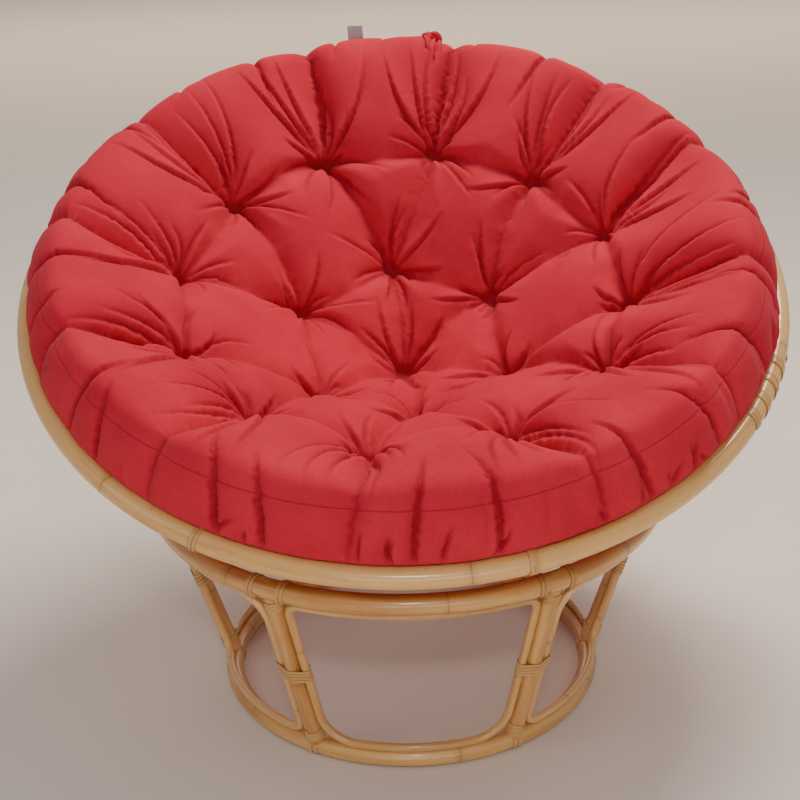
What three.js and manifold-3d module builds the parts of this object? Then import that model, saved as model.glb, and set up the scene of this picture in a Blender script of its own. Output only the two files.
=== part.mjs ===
// Papasan chair: a round cane bowl that tilts on a hooped cane base, with a loose tufted cushion.
// Millimetres, +Z up. The front of the chair faces -Y. Angles round an upright axis are
// counted from the front, towards +X.
import * as THREE from 'three';
import { mergeVertices } from 'three/addons/utils/BufferGeometryUtils.js';
import Module from 'manifold-3d';

const wasm = await Module();
wasm.setup();

const degree = Math.PI / 180;
const fullTurn = 2 * Math.PI;

// Base
const baseHeight = 320;
const bottomHoopRadius = 271;
const bottomPoleRadius = 13.5;
const topHoopRadius = 360;
const topPoleRadius = 14;
const postCount = 6;
const postRadius = 12;
const caneRadius = 6;
const tightCorner = 22;
const wideCorner = 46;

// Bowl
const rimRadius = 535;
const rimPoleRadius = 15;
const bowlDepth = 373;
const ribCount = 8;
const ribRadius = 9;
const ribOverhang = 20;
const ribHeadLap = 9;
const middleHoopRadius = 360;
const floorHoopRadius = 115;
const bowlHoopPoleRadius = 9;
const frontSpace = 50;

// Bindings of split cane
const stripWidth = 5;
const stripThickness = 1.5;
const turnGap = 0.6;
const headSideTurns = 1.5;
const footSideTurns = 0.5;
const middleTurns = 3.5;
const crossingStartShare = 0.2;
const crossingEndShare = 0.8;

// Bindings on the rim
const twinBandAngle = -29 * degree;
const twinBandTurns = 2;
const flatBandAngle = 15.2 * degree;
const flatBandWidth = 12;
const flatBandTurns = 1.2;
const spliceTurns = 4;
const spliceStripWidth = 14;
const spliceTurnGap = 22;
const spliceRib = 2;
const spliceRibTurnShare = 1.1;
const rimBandGap = 0.7;
const stapleWidth = 1.2;
const stapleLength = 9;
const stapleThickness = 0.8;
const nailHeadRadius = 2.5;
const nailHeadHeight = 1;

// Cushion
const centreThickness = 137;
const innerThickness = 166;
const outerThickness = 156;
const tuftRings = [
  { turns: [0], polarShare: 0, thickness: centreThickness },
  { turns: [5.9, 62.7, 124.9, 185.7, 245.9, 315.2], polarShare: 0.3483, thickness: innerThickness },
  {
    turns: [23.9, 55.9, 81.8, 109.6, 139.3, 169.8, 201.1, 231.8, 264.3, 293.4, 321.6, 351],
    polarShare: 0.774,
    thickness: outerThickness,
  },
];
const tuftReach = 70;
const puffRise = 37;
const creaseDepth = 42;
const innerCreaseWidth = 66;
const innerCreaseShares = [0.85, 0.5, 0.4, 0.5, 0.85];
const middleCreaseWidth = 76;
const middleCreaseShares = [0.85, 0.55, 0.45, 0.6, 1.05];
const ringCreaseWidth = 70;
const ringCreaseShares = [1.05, 0.55, 0.45, 0.55, 1.05];
const edgeCreaseWidth = 122;
const edgeCreaseShares = [1.05, 1.25, 1.1, 0.75, 0.45, 0.3];
const bulgeCreaseShare = 0.25;
const crownInset = 80;
const crownHeight = 103;
const seamInset = 30;
const seamHeight = 86;
const bulgeInset = 8;
const bulgeHeight = 47;
const rimClearance = 1.8;
const labelAngle = -171.3 * degree;
const labelWidth = 25;
const labelHeight = 24;
const labelThickness = 1;
const labelSink = 3;
const knotAngle = 174.2 * degree;
const knotLength = 26;
const knotWidth = 17;
const knotHeight = 22;
const knotSink = 3;

// Clearances
const seatGap = 0.3;
const wrapGap = 0.3;
const caneGap = 0.6;
const postSideGap = 0.6;
const crossingGap = 0.8;

// Facets
const poleSides = 10;
const caneSides = 8;
const ribSides = 8;
const baseSegments = postCount * 8;
const rimSegments = 60;
const bowlHoopSegments = 48;
const ribSteps = 12;
const cornerSteps = 4;
const puffColumnShares = [0, 0.13, 0.38, 0.62, 0.87];
const rimHugShares = [0.28, 0.36, 0.44];
const cushionBackShares = [0.97, 0.75, 0.5, 0.25];
const shortRunShare = 0.25;
const weldTolerance = 1e-4;
const halvings = 40;

// Sizes that follow from the ones above
const bindingRadius = topPoleRadius + wrapGap + stripThickness;
const footBindingRadius = bottomPoleRadius + wrapGap + stripThickness;
const bottomHoopHeight = footBindingRadius * Math.cos(Math.PI / poleSides);
const topHoopHeight = baseHeight - topPoleRadius;
const halfBaseChord = Math.PI / baseSegments;
const bowlRadius = (rimRadius ** 2 + bowlDepth ** 2) / (2 * bowlDepth);
const rimDrop = bowlRadius - bowlDepth;
const rimPolar = Math.atan2(rimRadius, rimDrop);
const contactRadius = bowlRadius + bindingRadius + seatGap;
const contactPolar = Math.asin(topHoopRadius / contactRadius);
const bowlCentreHeight = topHoopHeight + contactRadius * Math.cos(contactPolar);
const frontReach = rimPoleRadius + bindingRadius + frontSpace;
const frontPolar = Math.acos(
  (bowlRadius ** 2 + contactRadius ** 2 - frontReach ** 2) / (2 * bowlRadius * contactRadius),
);
const bowlTilt = rimPolar - contactPolar - frontPolar;
const ribLineRadius = bowlRadius - ribRadius;
const hoopLineRadius = bowlRadius - 2 * ribRadius - crossingGap - bowlHoopPoleRadius;
const backRadius = hoopLineRadius - bowlHoopPoleRadius - seatGap;
const crownRadius = rimRadius - crownInset;
const seamRadius = rimRadius - seamInset;
const bulgeRadius = rimRadius - bulgeInset;
const rimHugRadius = rimPoleRadius + rimBandGap + stripThickness + rimClearance;
const ribSpacing = fullTurn / ribCount;
const splicePitch = spliceStripWidth + spliceTurnGap;
const spliceAngle = (spliceRib - 0.5) * ribSpacing - spliceRibTurnShare * splicePitch / rimRadius;
const bay = fullTurn / postCount;
const firstPost = bay / 2;

const caneColour = 0xcf9d62;
const caneDark = 0xb98a52;
const stripColour = 0xc6995f;
const clothColour = 0xb83338;
const labelColour = 0xa3968f;
const metalColour = 0x8f8a84;

function material(color, roughness, metalness) {
  return new THREE.MeshStandardMaterial({ color, roughness, metalness });
}

const varnishedCane = () => material(caneColour, 0.35, 0);
const thinCane = () => material(caneDark, 0.4, 0);
const splitCane = () => material(stripColour, 0.5, 0);
const cloth = () => material(clothColour, 0.9, 0);
const labelCloth = () => material(labelColour, 0.9, 0);
const metal = () => material(metalColour, 0.4, 0.9);

function named(name, geometry, finish) {
  const mesh = new THREE.Mesh(geometry, finish);
  mesh.name = name;
  return mesh;
}

function mergedPositions(geometry) {
  const bare = geometry.clone();
  bare.deleteAttribute('normal');
  bare.deleteAttribute('uv');
  return mergeVertices(bare, weldTolerance);
}

function solidOf(geometry) {
  const merged = mergedPositions(geometry);
  const index = merged.index.array;
  const triVerts = new Uint32Array(index);
  const vertProperties = new Float32Array(merged.attributes.position.array);
  return new wasm.Manifold(new wasm.Mesh({ numProp: 3, vertProperties, triVerts }));
}

function geometryOf(solid) {
  const mesh = solid.getMesh();
  const geometry = new THREE.BufferGeometry();
  geometry.setAttribute('position', new THREE.BufferAttribute(new Float32Array(mesh.vertProperties), 3));
  geometry.setIndex(new THREE.BufferAttribute(new Uint32Array(mesh.triVerts), 1));
  return geometry;
}

function signedVolume(points, index) {
  let total = 0;
  for (let i = 0; i < index.length; i += 3) {
    const cross = points[index[i + 1]].clone().cross(points[index[i + 2]]);
    total += points[index[i]].dot(cross) / 6;
  }
  return total;
}

function closedBody(points, index) {
  if (signedVolume(points, index) < 0) {
    for (let i = 0; i < index.length; i += 3) {
      [index[i], index[i + 1]] = [index[i + 1], index[i]];
    }
  }
  const geometry = new THREE.BufferGeometry().setFromPoints(points);
  geometry.setIndex(index);
  return geometry;
}

// A skin through sections of equal count: a closed loop, or a run with flat ends.
function sweep(sections, closed) {
  const sides = sections[0].length;
  const points = sections.flat();
  const index = [];
  const spans = closed ? sections.length : sections.length - 1;
  for (let s = 0; s < spans; s += 1) {
    const here = s * sides;
    const next = ((s + 1) % sections.length) * sides;
    for (let i = 0; i < sides; i += 1) {
      const j = (i + 1) % sides;
      index.push(here + i, here + j, next + j);
      index.push(here + i, next + j, next + i);
    }
  }
  if (!closed) {
    const last = (sections.length - 1) * sides;
    for (let i = 1; i < sides - 1; i += 1) {
      index.push(0, i + 1, i);
      index.push(last, last + i, last + i + 1);
    }
  }
  return closedBody(points, index);
}

function outward(angle) {
  return new THREE.Vector3(Math.sin(angle), -Math.cos(angle), 0);
}

function along(angle) {
  return new THREE.Vector3(Math.cos(angle), Math.sin(angle), 0);
}

const up = new THREE.Vector3(0, 0, 1);

function sum(...terms) {
  const point = new THREE.Vector3();
  for (const [vector, scale] of terms) {
    point.addScaledVector(vector, scale);
  }
  return point;
}

// A bent pole closed into a level hoop. Its chords are centred on multiples of their own angle.
function hoop(radius, poleRadius, sides, segments, centredChords) {
  const geometry = new THREE.TorusGeometry(radius, poleRadius, sides, segments);
  const turn = centredChords ? Math.PI / segments : 0;
  geometry.rotateZ(turn - Math.PI / 2);
  return geometry;
}

// Places a point by its reach along, out from and above the centreline of a faceted hoop.
function hoopFrame(radius, segments, angle, height) {
  const step = fullTurn / segments;
  const chordRadius = radius * Math.cos(step / 2);
  return (reach, out, rise) => {
    const at = angle + reach / radius;
    const chordAngle = Math.round(at / step) * step;
    const slide = chordRadius * Math.tan(at - chordAngle);
    const level = sum([outward(chordAngle), chordRadius + out], [along(chordAngle), slide]);
    return level.addScaledVector(up, height + rise);
  };
}

// The corners of a band drawn tight round circles: each keeps its circle and direction.
function tightOutline(circles) {
  const corners = [];
  for (const circle of circles) {
    for (let i = 0; i < circle.sides; i += 1) {
      const angle = ((i + circle.firstShare) / circle.sides) * fullTurn;
      const x = circle.x + circle.radius * Math.cos(angle);
      const y = circle.y + circle.radius * Math.sin(angle);
      corners.push({ ...circle, angle, px: x, py: y });
    }
  }
  corners.sort((a, b) => a.px - b.px || a.py - b.py);
  const turns = (a, b, c) => (b.px - a.px) * (c.py - a.py) - (b.py - a.py) * (c.px - a.px);
  const half = (list) => {
    const chain = [];
    for (const corner of list) {
      while (chain.length > 1 && turns(chain.at(-2), chain.at(-1), corner) <= 0) {
        chain.pop();
      }
      chain.push(corner);
    }
    chain.pop();
    return chain;
  };
  return [...half(corners), ...half([...corners].reverse())];
}

function poleAt(x, radius) {
  return { x, y: 0, radius, sides: poleSides, firstShare: 0 };
}

function caneAt(x) {
  return { x, y: 0, radius: caneRadius, sides: caneSides, firstShare: 0.5 };
}

const selfGaps = [];

// The least distance between points of a winding that lie at least half a turn apart.
function leastSelfGap(sections, perTurn) {
  const apart = Math.ceil(perTurn / 2);
  let least = Infinity;
  for (let first = 0; first < sections.length; first += 1) {
    for (const other of sections.slice(first + apart).flat()) {
      least = Math.min(least, ...sections[first].map((point) => point.distanceTo(other)));
    }
  }
  return least;
}

// One unbroken strip wound round an outline. `reachAt` gives its place along the wound pole.
function winding(outline, firstCorner, turns, width, place, reachAt) {
  const steps = Math.round(turns * outline.length);
  const sections = [];
  for (let step = 0; step <= steps; step += 1) {
    const corner = outline[(((firstCorner + step) % outline.length) + outline.length) % outline.length];
    const reach = reachAt(step / outline.length);
    const section = [];
    for (const [side, lift] of [[-1, 0], [1, 0], [1, 1], [-1, 1]]) {
      const radius = corner.radius + wrapGap + lift * stripThickness;
      const out = corner.x + radius * Math.cos(corner.angle);
      const rise = corner.y + radius * Math.sin(corner.angle);
      section.push(place(reach + side * width / 2, out, rise));
    }
    sections.push(section);
  }
  selfGaps.push(leastSelfGap(sections, outline.length));
  return sweep(sections, false);
}

function evenReach(turns, pitch) {
  return (turn) => (turn - turns / 2) * pitch;
}

// Turns on one side of a post, one long step across it, then the same turns on its other side.
function crossedReach(sideTurns, pitch) {
  const clear = postRadius + postSideGap + stripWidth / 2;
  const start = { turn: crossingStartShare, reach: -clear + crossingStartShare * pitch };
  const end = { turn: crossingEndShare, reach: clear - (1 - crossingEndShare) * pitch };
  return (wound) => {
    const turn = wound - sideTurns;
    if (turn < start.turn) {
      return -clear + turn * pitch;
    }
    if (turn > end.turn) {
      return clear + (turn - 1) * pitch;
    }
    const share = (turn - start.turn) / (end.turn - start.turn);
    return start.reach + share * (end.reach - start.reach);
  };
}

const stripPitch = stripWidth + turnGap;

function cornerTowards(outline, step) {
  return outline.findIndex((corner) => Math.round(corner.angle / (fullTurn / poleSides)) === step);
}

function hoopBinding(hoopRadius, poleRadius, height, angle, sideTurns, postCorner) {
  const outline = tightOutline([poleAt(0, poleRadius)]);
  const first = cornerTowards(outline, postCorner) - Math.round(sideTurns * poleSides);
  const place = hoopFrame(hoopRadius, baseSegments, angle, height);
  const turns = 2 * sideTurns + 1;
  return winding(outline, first, turns, stripWidth, place, crossedReach(sideTurns, stripPitch));
}

const slant = new THREE.Vector2(topHoopRadius - bottomHoopRadius, topHoopHeight - bottomHoopHeight);
const slantLength = slant.length();
slant.normalize();

const chordShare = Math.cos(halfBaseChord);

// A point on the sloping side of the base, which is faceted like its hoops.
function sidePoint(angle, way, depth) {
  const chord = Math.round(angle / (2 * halfBaseChord)) * 2 * halfBaseChord;
  const facet = chordShare / Math.cos(angle - chord);
  const radius = (bottomHoopRadius + slant.x * way) * facet + slant.y * depth;
  const height = bottomHoopHeight + slant.y * way - slant.x * depth;
  return sum([outward(angle), radius], [up, height]);
}

function postEnd(angle, radius, height) {
  return sum([outward(angle), radius * chordShare], [up, height]);
}

function postFrame(angle) {
  const foot = postEnd(angle, bottomHoopRadius, bottomHoopHeight);
  const head = postEnd(angle, topHoopRadius, topHoopHeight);
  const line = head.clone().sub(foot);
  const length = line.length();
  const axis = line.normalize();
  const across = along(angle);
  const face = across.clone().cross(axis);
  return { middle: foot.add(head).multiplyScalar(0.5), length, axis, across, face };
}

function post(angle) {
  const { middle, length, axis, across, face } = postFrame(angle);
  const pole = new THREE.CylinderGeometry(postRadius, postRadius, length, poleSides);
  const basis = new THREE.Matrix4().makeBasis(face.negate(), axis, across);
  pole.applyMatrix4(basis.setPosition(middle));
  const bottom = hoop(bottomHoopRadius, bottomPoleRadius + seatGap, poleSides, baseSegments, true);
  bottom.translate(0, 0, bottomHoopHeight);
  const top = hoop(topHoopRadius, topPoleRadius + seatGap, poleSides, baseSegments, true);
  top.translate(0, 0, topHoopHeight);
  return geometryOf(solidOf(pole).subtract(solidOf(bottom)).subtract(solidOf(top)));
}

// The thin cane that lines one bay, as a closed loop with a corner radius at each corner.
function bayLoop(left, corners) {
  const right = left + bay;
  const beside = postRadius + caneGap + caneRadius;
  const low = bottomPoleRadius + caneGap + caneRadius;
  const high = slantLength - topPoleRadius - caneGap - caneRadius;
  const path = [];
  const corner = (postAngle, side, end, upwards, radius, from, to) => {
    for (let i = 0; i <= cornerSteps; i += 1) {
      const turn = (from + (to - from) * (i / cornerSteps)) * 90 * degree;
      const across = beside + radius * (1 - Math.cos(turn));
      const way = end - upwards * radius * (1 - Math.sin(turn));
      const reach = (bottomHoopRadius + slant.x * way) * chordShare;
      path.push({ angle: postAngle + side * Math.atan(across / reach), way });
    }
  };
  const run = (way) => {
    const from = path.at(-1).angle;
    const step = fullTurn / baseSegments;
    const forward = way === high ? 1 : -1;
    const end = way === high ? right : left;
    const inset = (way === high ? corners.topRight : corners.bottomLeft) + beside;
    const stop = end - forward * inset / (bottomHoopRadius + slant.x * way);
    const short = shortRunShare * step;
    const firstMark = forward > 0 ? Math.floor(from / step - 0.5) + 1.5 : Math.ceil(from / step - 0.5) - 0.5;
    for (let mark = firstMark; forward * (stop - mark * step) > short; mark += forward) {
      if (forward * (mark * step - from) > short) {
        path.push({ angle: mark * step, way });
      }
    }
  };
  corner(left, 1, low, -1, corners.bottomLeft, 1, 0);
  corner(left, 1, high, 1, corners.topLeft, 0, 1);
  run(high);
  corner(right, -1, high, 1, corners.topRight, 1, 0);
  corner(right, -1, low, -1, corners.bottomRight, 0, 1);
  run(low);
  const points = path.map(({ angle, way }) => sidePoint(angle, way, 0));
  const sections = points.map((point, i) => {
    const before = points.at(i - 1);
    const after = points[(i + 1) % points.length];
    const tangent = after.clone().sub(before).normalize();
    const face = sidePoint(path[i].angle, path[i].way, 1).sub(point);
    const across = tangent.clone().cross(face).normalize();
    const out = across.clone().cross(tangent).normalize();
    return ringOf(point, across, out, caneRadius, caneSides);
  });
  return sweep(sections, true);
}

function ringOf(centre, first, second, radius, sides) {
  const ring = [];
  for (let i = 0; i < sides; i += 1) {
    const angle = ((i + 0.5) / sides) * fullTurn;
    const x = radius * Math.cos(angle);
    const y = radius * Math.sin(angle);
    ring.push(sum([centre, 1], [first, x], [second, y]));
  }
  return ring;
}

function middleBinding(angle) {
  const beside = postRadius + caneGap + caneRadius;
  const outline = tightOutline([poleAt(0, postRadius), caneAt(beside), caneAt(-beside)]);
  const { middle, axis, across, face } = postFrame(angle);
  const place = (reach, out, rise) => sum([middle, 1], [axis, reach], [across, out], [face, rise]);
  return winding(outline, 0, middleTurns, stripWidth, place, evenReach(middleTurns, stripPitch));
}

function bayCorners(index) {
  const front = index === postCount - 1;
  const rear = index === postCount / 2 - 1;
  if (front || rear) {
    return { topLeft: tightCorner, topRight: tightCorner, bottomLeft: wideCorner, bottomRight: wideCorner };
  }
  const wideLeft = index === 0 || index === postCount / 2;
  return {
    topLeft: wideLeft ? wideCorner : tightCorner,
    topRight: wideLeft ? tightCorner : wideCorner,
    bottomLeft: tightCorner,
    bottomRight: tightCorner,
  };
}

function base() {
  const group = new THREE.Group();
  const bottom = hoop(bottomHoopRadius, bottomPoleRadius, poleSides, baseSegments, true);
  bottom.translate(0, 0, bottomHoopHeight);
  group.add(named('base_bottom_hoop', bottom, varnishedCane()));
  const top = hoop(topHoopRadius, topPoleRadius, poleSides, baseSegments, true);
  top.translate(0, 0, topHoopHeight);
  group.add(named('base_top_hoop', top, varnishedCane()));
  for (let i = 0; i < postCount; i += 1) {
    const angle = firstPost + i * bay;
    const number = i + 1;
    group.add(named(`base_post_${number}`, post(angle), varnishedCane()));
    group.add(named(`bay_cane_${number}`, bayLoop(angle, bayCorners(i)), thinCane()));
    group.add(named(`middle_binding_${number}`, middleBinding(angle), splitCane()));
    const foot = hoopBinding(bottomHoopRadius, bottomPoleRadius, bottomHoopHeight, angle, footSideTurns, 2);
    group.add(named(`foot_binding_${number}`, foot, splitCane()));
    const head = hoopBinding(topHoopRadius, topPoleRadius, topHoopHeight, angle, headSideTurns, 7);
    group.add(named(`head_binding_${number}`, head, splitCane()));
  }
  return group;
}

class RibLine extends THREE.Curve {
  constructor(angle, from, to) {
    super();
    this.angle = angle;
    this.from = from;
    this.to = to;
  }

  getPoint(share, target = new THREE.Vector3()) {
    const polar = this.from + share * (this.to - this.from);
    const level = outward(this.angle).multiplyScalar(ribLineRadius * Math.sin(polar));
    return target.copy(level).addScaledVector(up, -ribLineRadius * Math.cos(polar));
  }
}

function discShape(radius, sides) {
  const shape = new THREE.Shape();
  for (let i = 0; i < sides; i += 1) {
    const angle = (i / sides) * fullTurn;
    const x = radius * Math.cos(angle);
    const y = radius * Math.sin(angle);
    if (i === 0) {
      shape.moveTo(x, y);
    } else {
      shape.lineTo(x, y);
    }
  }
  return shape;
}

function rib(angle) {
  const from = Math.asin(floorHoopRadius / hoopLineRadius) - ribOverhang / ribLineRadius;
  const to = rimPolar - ribHeadLap / ribLineRadius;
  const line = new RibLine(angle, from, to);
  const settings = { steps: ribSteps, extrudePath: line, bevelEnabled: false };
  const pole = new THREE.ExtrudeGeometry(discShape(ribRadius, ribSides), settings);
  const rim = hoop(rimRadius, rimPoleRadius + seatGap, poleSides, rimSegments, true);
  rim.translate(0, 0, -rimDrop);
  return geometryOf(solidOf(pole).subtract(solidOf(rim)));
}

function bowlHoop(radius) {
  const geometry = hoop(radius, bowlHoopPoleRadius, caneSides, bowlHoopSegments, false);
  geometry.translate(0, 0, -Math.sqrt(hoopLineRadius ** 2 - radius ** 2));
  return geometry;
}

function rimBinding(angle, turns, width, gap) {
  const outline = tightOutline([poleAt(0, rimPoleRadius + rimBandGap - wrapGap)]);
  const place = hoopFrame(rimRadius, rimSegments, angle, -rimDrop);
  const first = cornerTowards(outline, 0);
  return winding(outline, first, turns, width, place, evenReach(turns, width + gap));
}

// Puts a small piece on the outside of the rim, its own +Z away from the pole's centreline.
function onRim(geometry, angle, bandLift, sideFacet) {
  const place = hoopFrame(rimRadius, rimSegments, angle, -rimDrop);
  const tilt = (sideFacet + 0.5) * (fullTurn / poleSides);
  const flat = Math.cos(Math.PI / poleSides);
  const radius = (rimPoleRadius + rimBandGap + bandLift) * flat + seatGap;
  const at = place(0, radius * Math.cos(tilt), radius * Math.sin(tilt));
  const away = place(0, Math.cos(tilt), Math.sin(tilt)).sub(place(0, 0, 0));
  const side = place(1, 0, 0).sub(place(0, 0, 0));
  const across = away.clone().cross(side);
  const basis = new THREE.Matrix4().makeBasis(side, across, away);
  basis.setPosition(at);
  return geometry.applyMatrix4(basis);
}

function staple() {
  const wire = new THREE.BoxGeometry(stapleWidth, stapleLength, stapleThickness);
  wire.translate(0, 0, stapleThickness / 2);
  return onRim(wire, flatBandAngle, stripThickness, 0);
}

function nail() {
  const head = new THREE.CylinderGeometry(nailHeadRadius, nailHeadRadius, nailHeadHeight, caneSides);
  head.rotateX(90 * degree);
  head.translate(0, 0, nailHeadHeight / 2);
  return onRim(head, spliceAngle, stripThickness, 0);
}

function bowlFrame() {
  const group = new THREE.Group();
  const rim = hoop(rimRadius, rimPoleRadius, poleSides, rimSegments, true);
  rim.translate(0, 0, -rimDrop);
  group.add(named('bowl_rim', rim, varnishedCane()));
  group.add(named('bowl_middle_hoop', bowlHoop(middleHoopRadius), thinCane()));
  group.add(named('bowl_floor_hoop', bowlHoop(floorHoopRadius), thinCane()));
  for (let i = 0; i < ribCount; i += 1) {
    group.add(named(`bowl_rib_${i + 1}`, rib((i + 0.5) * ribSpacing), thinCane()));
  }
  const twin = rimBinding(twinBandAngle, twinBandTurns, stripWidth, turnGap);
  group.add(named('rim_twin_band', twin, splitCane()));
  const flat = rimBinding(flatBandAngle, flatBandTurns, flatBandWidth, turnGap);
  group.add(named('rim_flat_band', flat, splitCane()));
  group.add(named('rim_band_staple', staple(), metal()));
  const splice = rimBinding(spliceAngle, spliceTurns, spliceStripWidth, spliceTurnGap);
  group.add(named('rim_splice_wrap', splice, splitCane()));
  group.add(named('rim_splice_nail', nail(), metal()));
  return group;
}

const tuftLines = tuftRings.map(({ polarShare, thickness }) => {
  const polar = polarShare * rimPolar;
  const reach = backRadius - thickness;
  return { radius: reach * Math.sin(polar), height: -reach * Math.cos(polar) };
});

function planSpot(radius, angle) {
  return new THREE.Vector2(radius * Math.sin(angle), -radius * Math.cos(angle));
}

const [[centreTuft], innerTufts, outerTufts] = tuftRings.map(({ turns }, ring) => (
  turns.map((turn) => planSpot(tuftLines[ring].radius, turn * degree))
));
const tufts = [centreTuft, ...innerTufts, ...outerTufts];
const outerAngles = tuftRings.at(-1).turns.map((turn) => turn * degree);

// The creases between tufts, and the long ones from the outer tufts over the edge.
function creaseLines() {
  const lines = [];
  innerTufts.forEach((tuft, i) => {
    const next = innerTufts[(i + 1) % innerTufts.length];
    lines.push({ from: centreTuft, to: tuft, width: innerCreaseWidth, shares: innerCreaseShares });
    lines.push({ from: tuft, to: next, width: innerCreaseWidth, shares: innerCreaseShares });
  });
  outerTufts.forEach((tuft, i) => {
    const next = outerTufts[(i + 1) % outerTufts.length];
    const nearest = innerTufts.reduce((best, other) => (
      other.distanceTo(tuft) < best.distanceTo(tuft) ? other : best
    ));
    const edge = planSpot(bulgeRadius, outerAngles[i]);
    lines.push({ from: nearest, to: tuft, width: middleCreaseWidth, shares: middleCreaseShares });
    lines.push({ from: tuft, to: next, width: ringCreaseWidth, shares: ringCreaseShares });
    lines.push({ from: tuft, to: edge, width: edgeCreaseWidth, shares: edgeCreaseShares });
  });
  return lines;
}

const creases = creaseLines();

function valueAlong(values, share) {
  const place = share * (values.length - 1);
  const before = Math.min(Math.floor(place), values.length - 2);
  return values[before] + (place - before) * (values[before + 1] - values[before]);
}

// A crease is deepest on its line, and rises from there like the side of a round puff.
function creasePull({ from, to, width, shares }, spot) {
  const run = to.clone().sub(from);
  const share = Math.min(1, Math.max(0, spot.clone().sub(from).dot(run) / run.lengthSq()));
  const off = spot.distanceTo(from.clone().addScaledVector(run, share));
  const slope = 1 - Math.min(1, off / width);
  return creaseDepth * valueAlong(shares, share) * (1 - Math.sqrt(1 - slope * slope));
}

// The tops of the puffs, from the middle of the dish out to the seam.
function crownLine() {
  const tops = tuftLines.map(({ radius, height }) => new THREE.Vector2(radius, puffRise + height));
  const crown = new THREE.Vector2(crownRadius, crownHeight - rimDrop);
  const seam = new THREE.Vector2(seamRadius, seamHeight - rimDrop);
  return new THREE.SplineCurve([...tops, crown, seam]);
}

function crownHeightAt(line, radius) {
  let low = 0;
  let high = 1;
  for (let i = 0; i < halvings; i += 1) {
    const middle = (low + high) / 2;
    if (line.getPoint(middle).x < radius) {
      low = middle;
    } else {
      high = middle;
    }
  }
  return line.getPoint(low).y;
}

function topHeight(line, radius, angle) {
  const spot = planSpot(radius, angle);
  const pits = tufts.map((tuft) => creaseDepth * Math.max(0, 1 - spot.distanceTo(tuft) / tuftReach) ** 2);
  const folds = creases.map((crease) => creasePull(crease, spot));
  return crownHeightAt(line, radius) - Math.max(...pits, ...folds);
}

// The angles of the cushion's columns, closest beside the creases that run to its edge.
const columnAngles = outerAngles.flatMap((angle, i) => {
  const next = i + 1 < outerAngles.length ? outerAngles[i + 1] : outerAngles[0] + fullTurn;
  return puffColumnShares.map((share) => angle + share * (next - angle));
});

function seamPoint(line, angle) {
  return sum([outward(angle), seamRadius], [up, topHeight(line, seamRadius, angle)]);
}

function cushion() {
  const line = crownLine();
  const [, inner, outer] = tuftLines.map(({ radius }) => radius);
  const topRadii = [
    inner / 3,
    2 * inner / 3,
    inner,
    inner + (outer - inner) / 3,
    inner + 2 * (outer - inner) / 3,
    outer,
    outer + (crownRadius - outer) / 3,
    outer + 2 * (crownRadius - outer) / 3,
    crownRadius,
    (crownRadius + seamRadius) / 2,
    seamRadius,
  ];
  const backEdge = Math.acos(rimDrop / backRadius);
  const rows = [];
  const row = (at) => rows.push(columnAngles.map((angle, i) => {
    const { radius, height } = at(angle, i);
    return sum([outward(angle), radius], [up, height]);
  }));
  for (const radius of topRadii) {
    row((angle) => ({ radius, height: topHeight(line, radius, angle) }));
  }
  row((angle) => {
    const drawnIn = bulgeCreaseShare * (seamHeight - rimDrop - topHeight(line, seamRadius, angle));
    return { radius: bulgeRadius - drawnIn, height: bulgeHeight - rimDrop };
  });
  for (const share of rimHugShares) {
    const turn = share * fullTurn;
    const radius = rimRadius + rimHugRadius * Math.cos(turn);
    const height = rimHugRadius * Math.sin(turn) - rimDrop;
    row(() => ({ radius, height }));
  }
  for (const share of cushionBackShares) {
    const polar = backEdge * share;
    row(() => ({ radius: backRadius * Math.sin(polar), height: -backRadius * Math.cos(polar) }));
  }
  const columns = columnAngles.length;
  const points = rows.flat();
  const index = [];
  for (let r = 0; r < rows.length - 1; r += 1) {
    for (let i = 0; i < columns; i += 1) {
      const j = (i + 1) % columns;
      const here = r * columns;
      const next = here + columns;
      index.push(here + i, here + j, next + j);
      index.push(here + i, next + j, next + i);
    }
  }
  const top = points.length;
  points.push(new THREE.Vector3(0, 0, topHeight(line, 0, 0)));
  const bottom = points.length;
  points.push(new THREE.Vector3(0, 0, -backRadius));
  const lastRow = (rows.length - 1) * columns;
  for (let i = 0; i < columns; i += 1) {
    const j = (i + 1) % columns;
    index.push(top, j, i);
    index.push(bottom, lastRow + i, lastRow + j);
  }
  return closedBody(points, index);
}

// Stands a piece on the upper seam, its own +X along the seam and +Z away from the bowl, and cuts
// it to the cushion that it is pressed on.
function pressedOnSeam(geometry, angle, seat) {
  const basis = new THREE.Matrix4().makeBasis(along(angle), outward(angle).negate(), up);
  basis.setPosition(seamPoint(crownLine(), angle));
  const lifted = seat.clone().translate(0, 0, seatGap);
  return geometryOf(solidOf(geometry.applyMatrix4(basis)).subtract(solidOf(lifted)));
}

function careLabel(seat) {
  const tab = new THREE.BoxGeometry(labelWidth, labelThickness, labelHeight);
  tab.translate(0, 0, labelHeight / 2 - labelSink);
  return pressedOnSeam(tab, labelAngle, seat);
}

function knot(seat) {
  const ball = new THREE.SphereGeometry(0.5, poleSides, caneSides);
  ball.rotateX(90 * degree);
  ball.scale(knotLength, knotWidth, knotHeight);
  ball.translate(0, 0, knotHeight / 2 - knotSink);
  return pressedOnSeam(ball, knotAngle, seat);
}

function softParts() {
  const group = new THREE.Group();
  const seat = cushion();
  group.add(named('cushion', seat, cloth()));
  group.add(named('care_label', careLabel(seat), labelCloth()));
  group.add(named('cushion_knot', knot(seat), cloth()));
  return group;
}

const chair = new THREE.Group();
chair.add(base());
const bowl = new THREE.Group();
bowl.position.z = bowlCentreHeight;
bowl.rotation.x = bowlTilt;
bowl.add(bowlFrame());
bowl.add(softParts());
chair.add(bowl);

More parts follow.
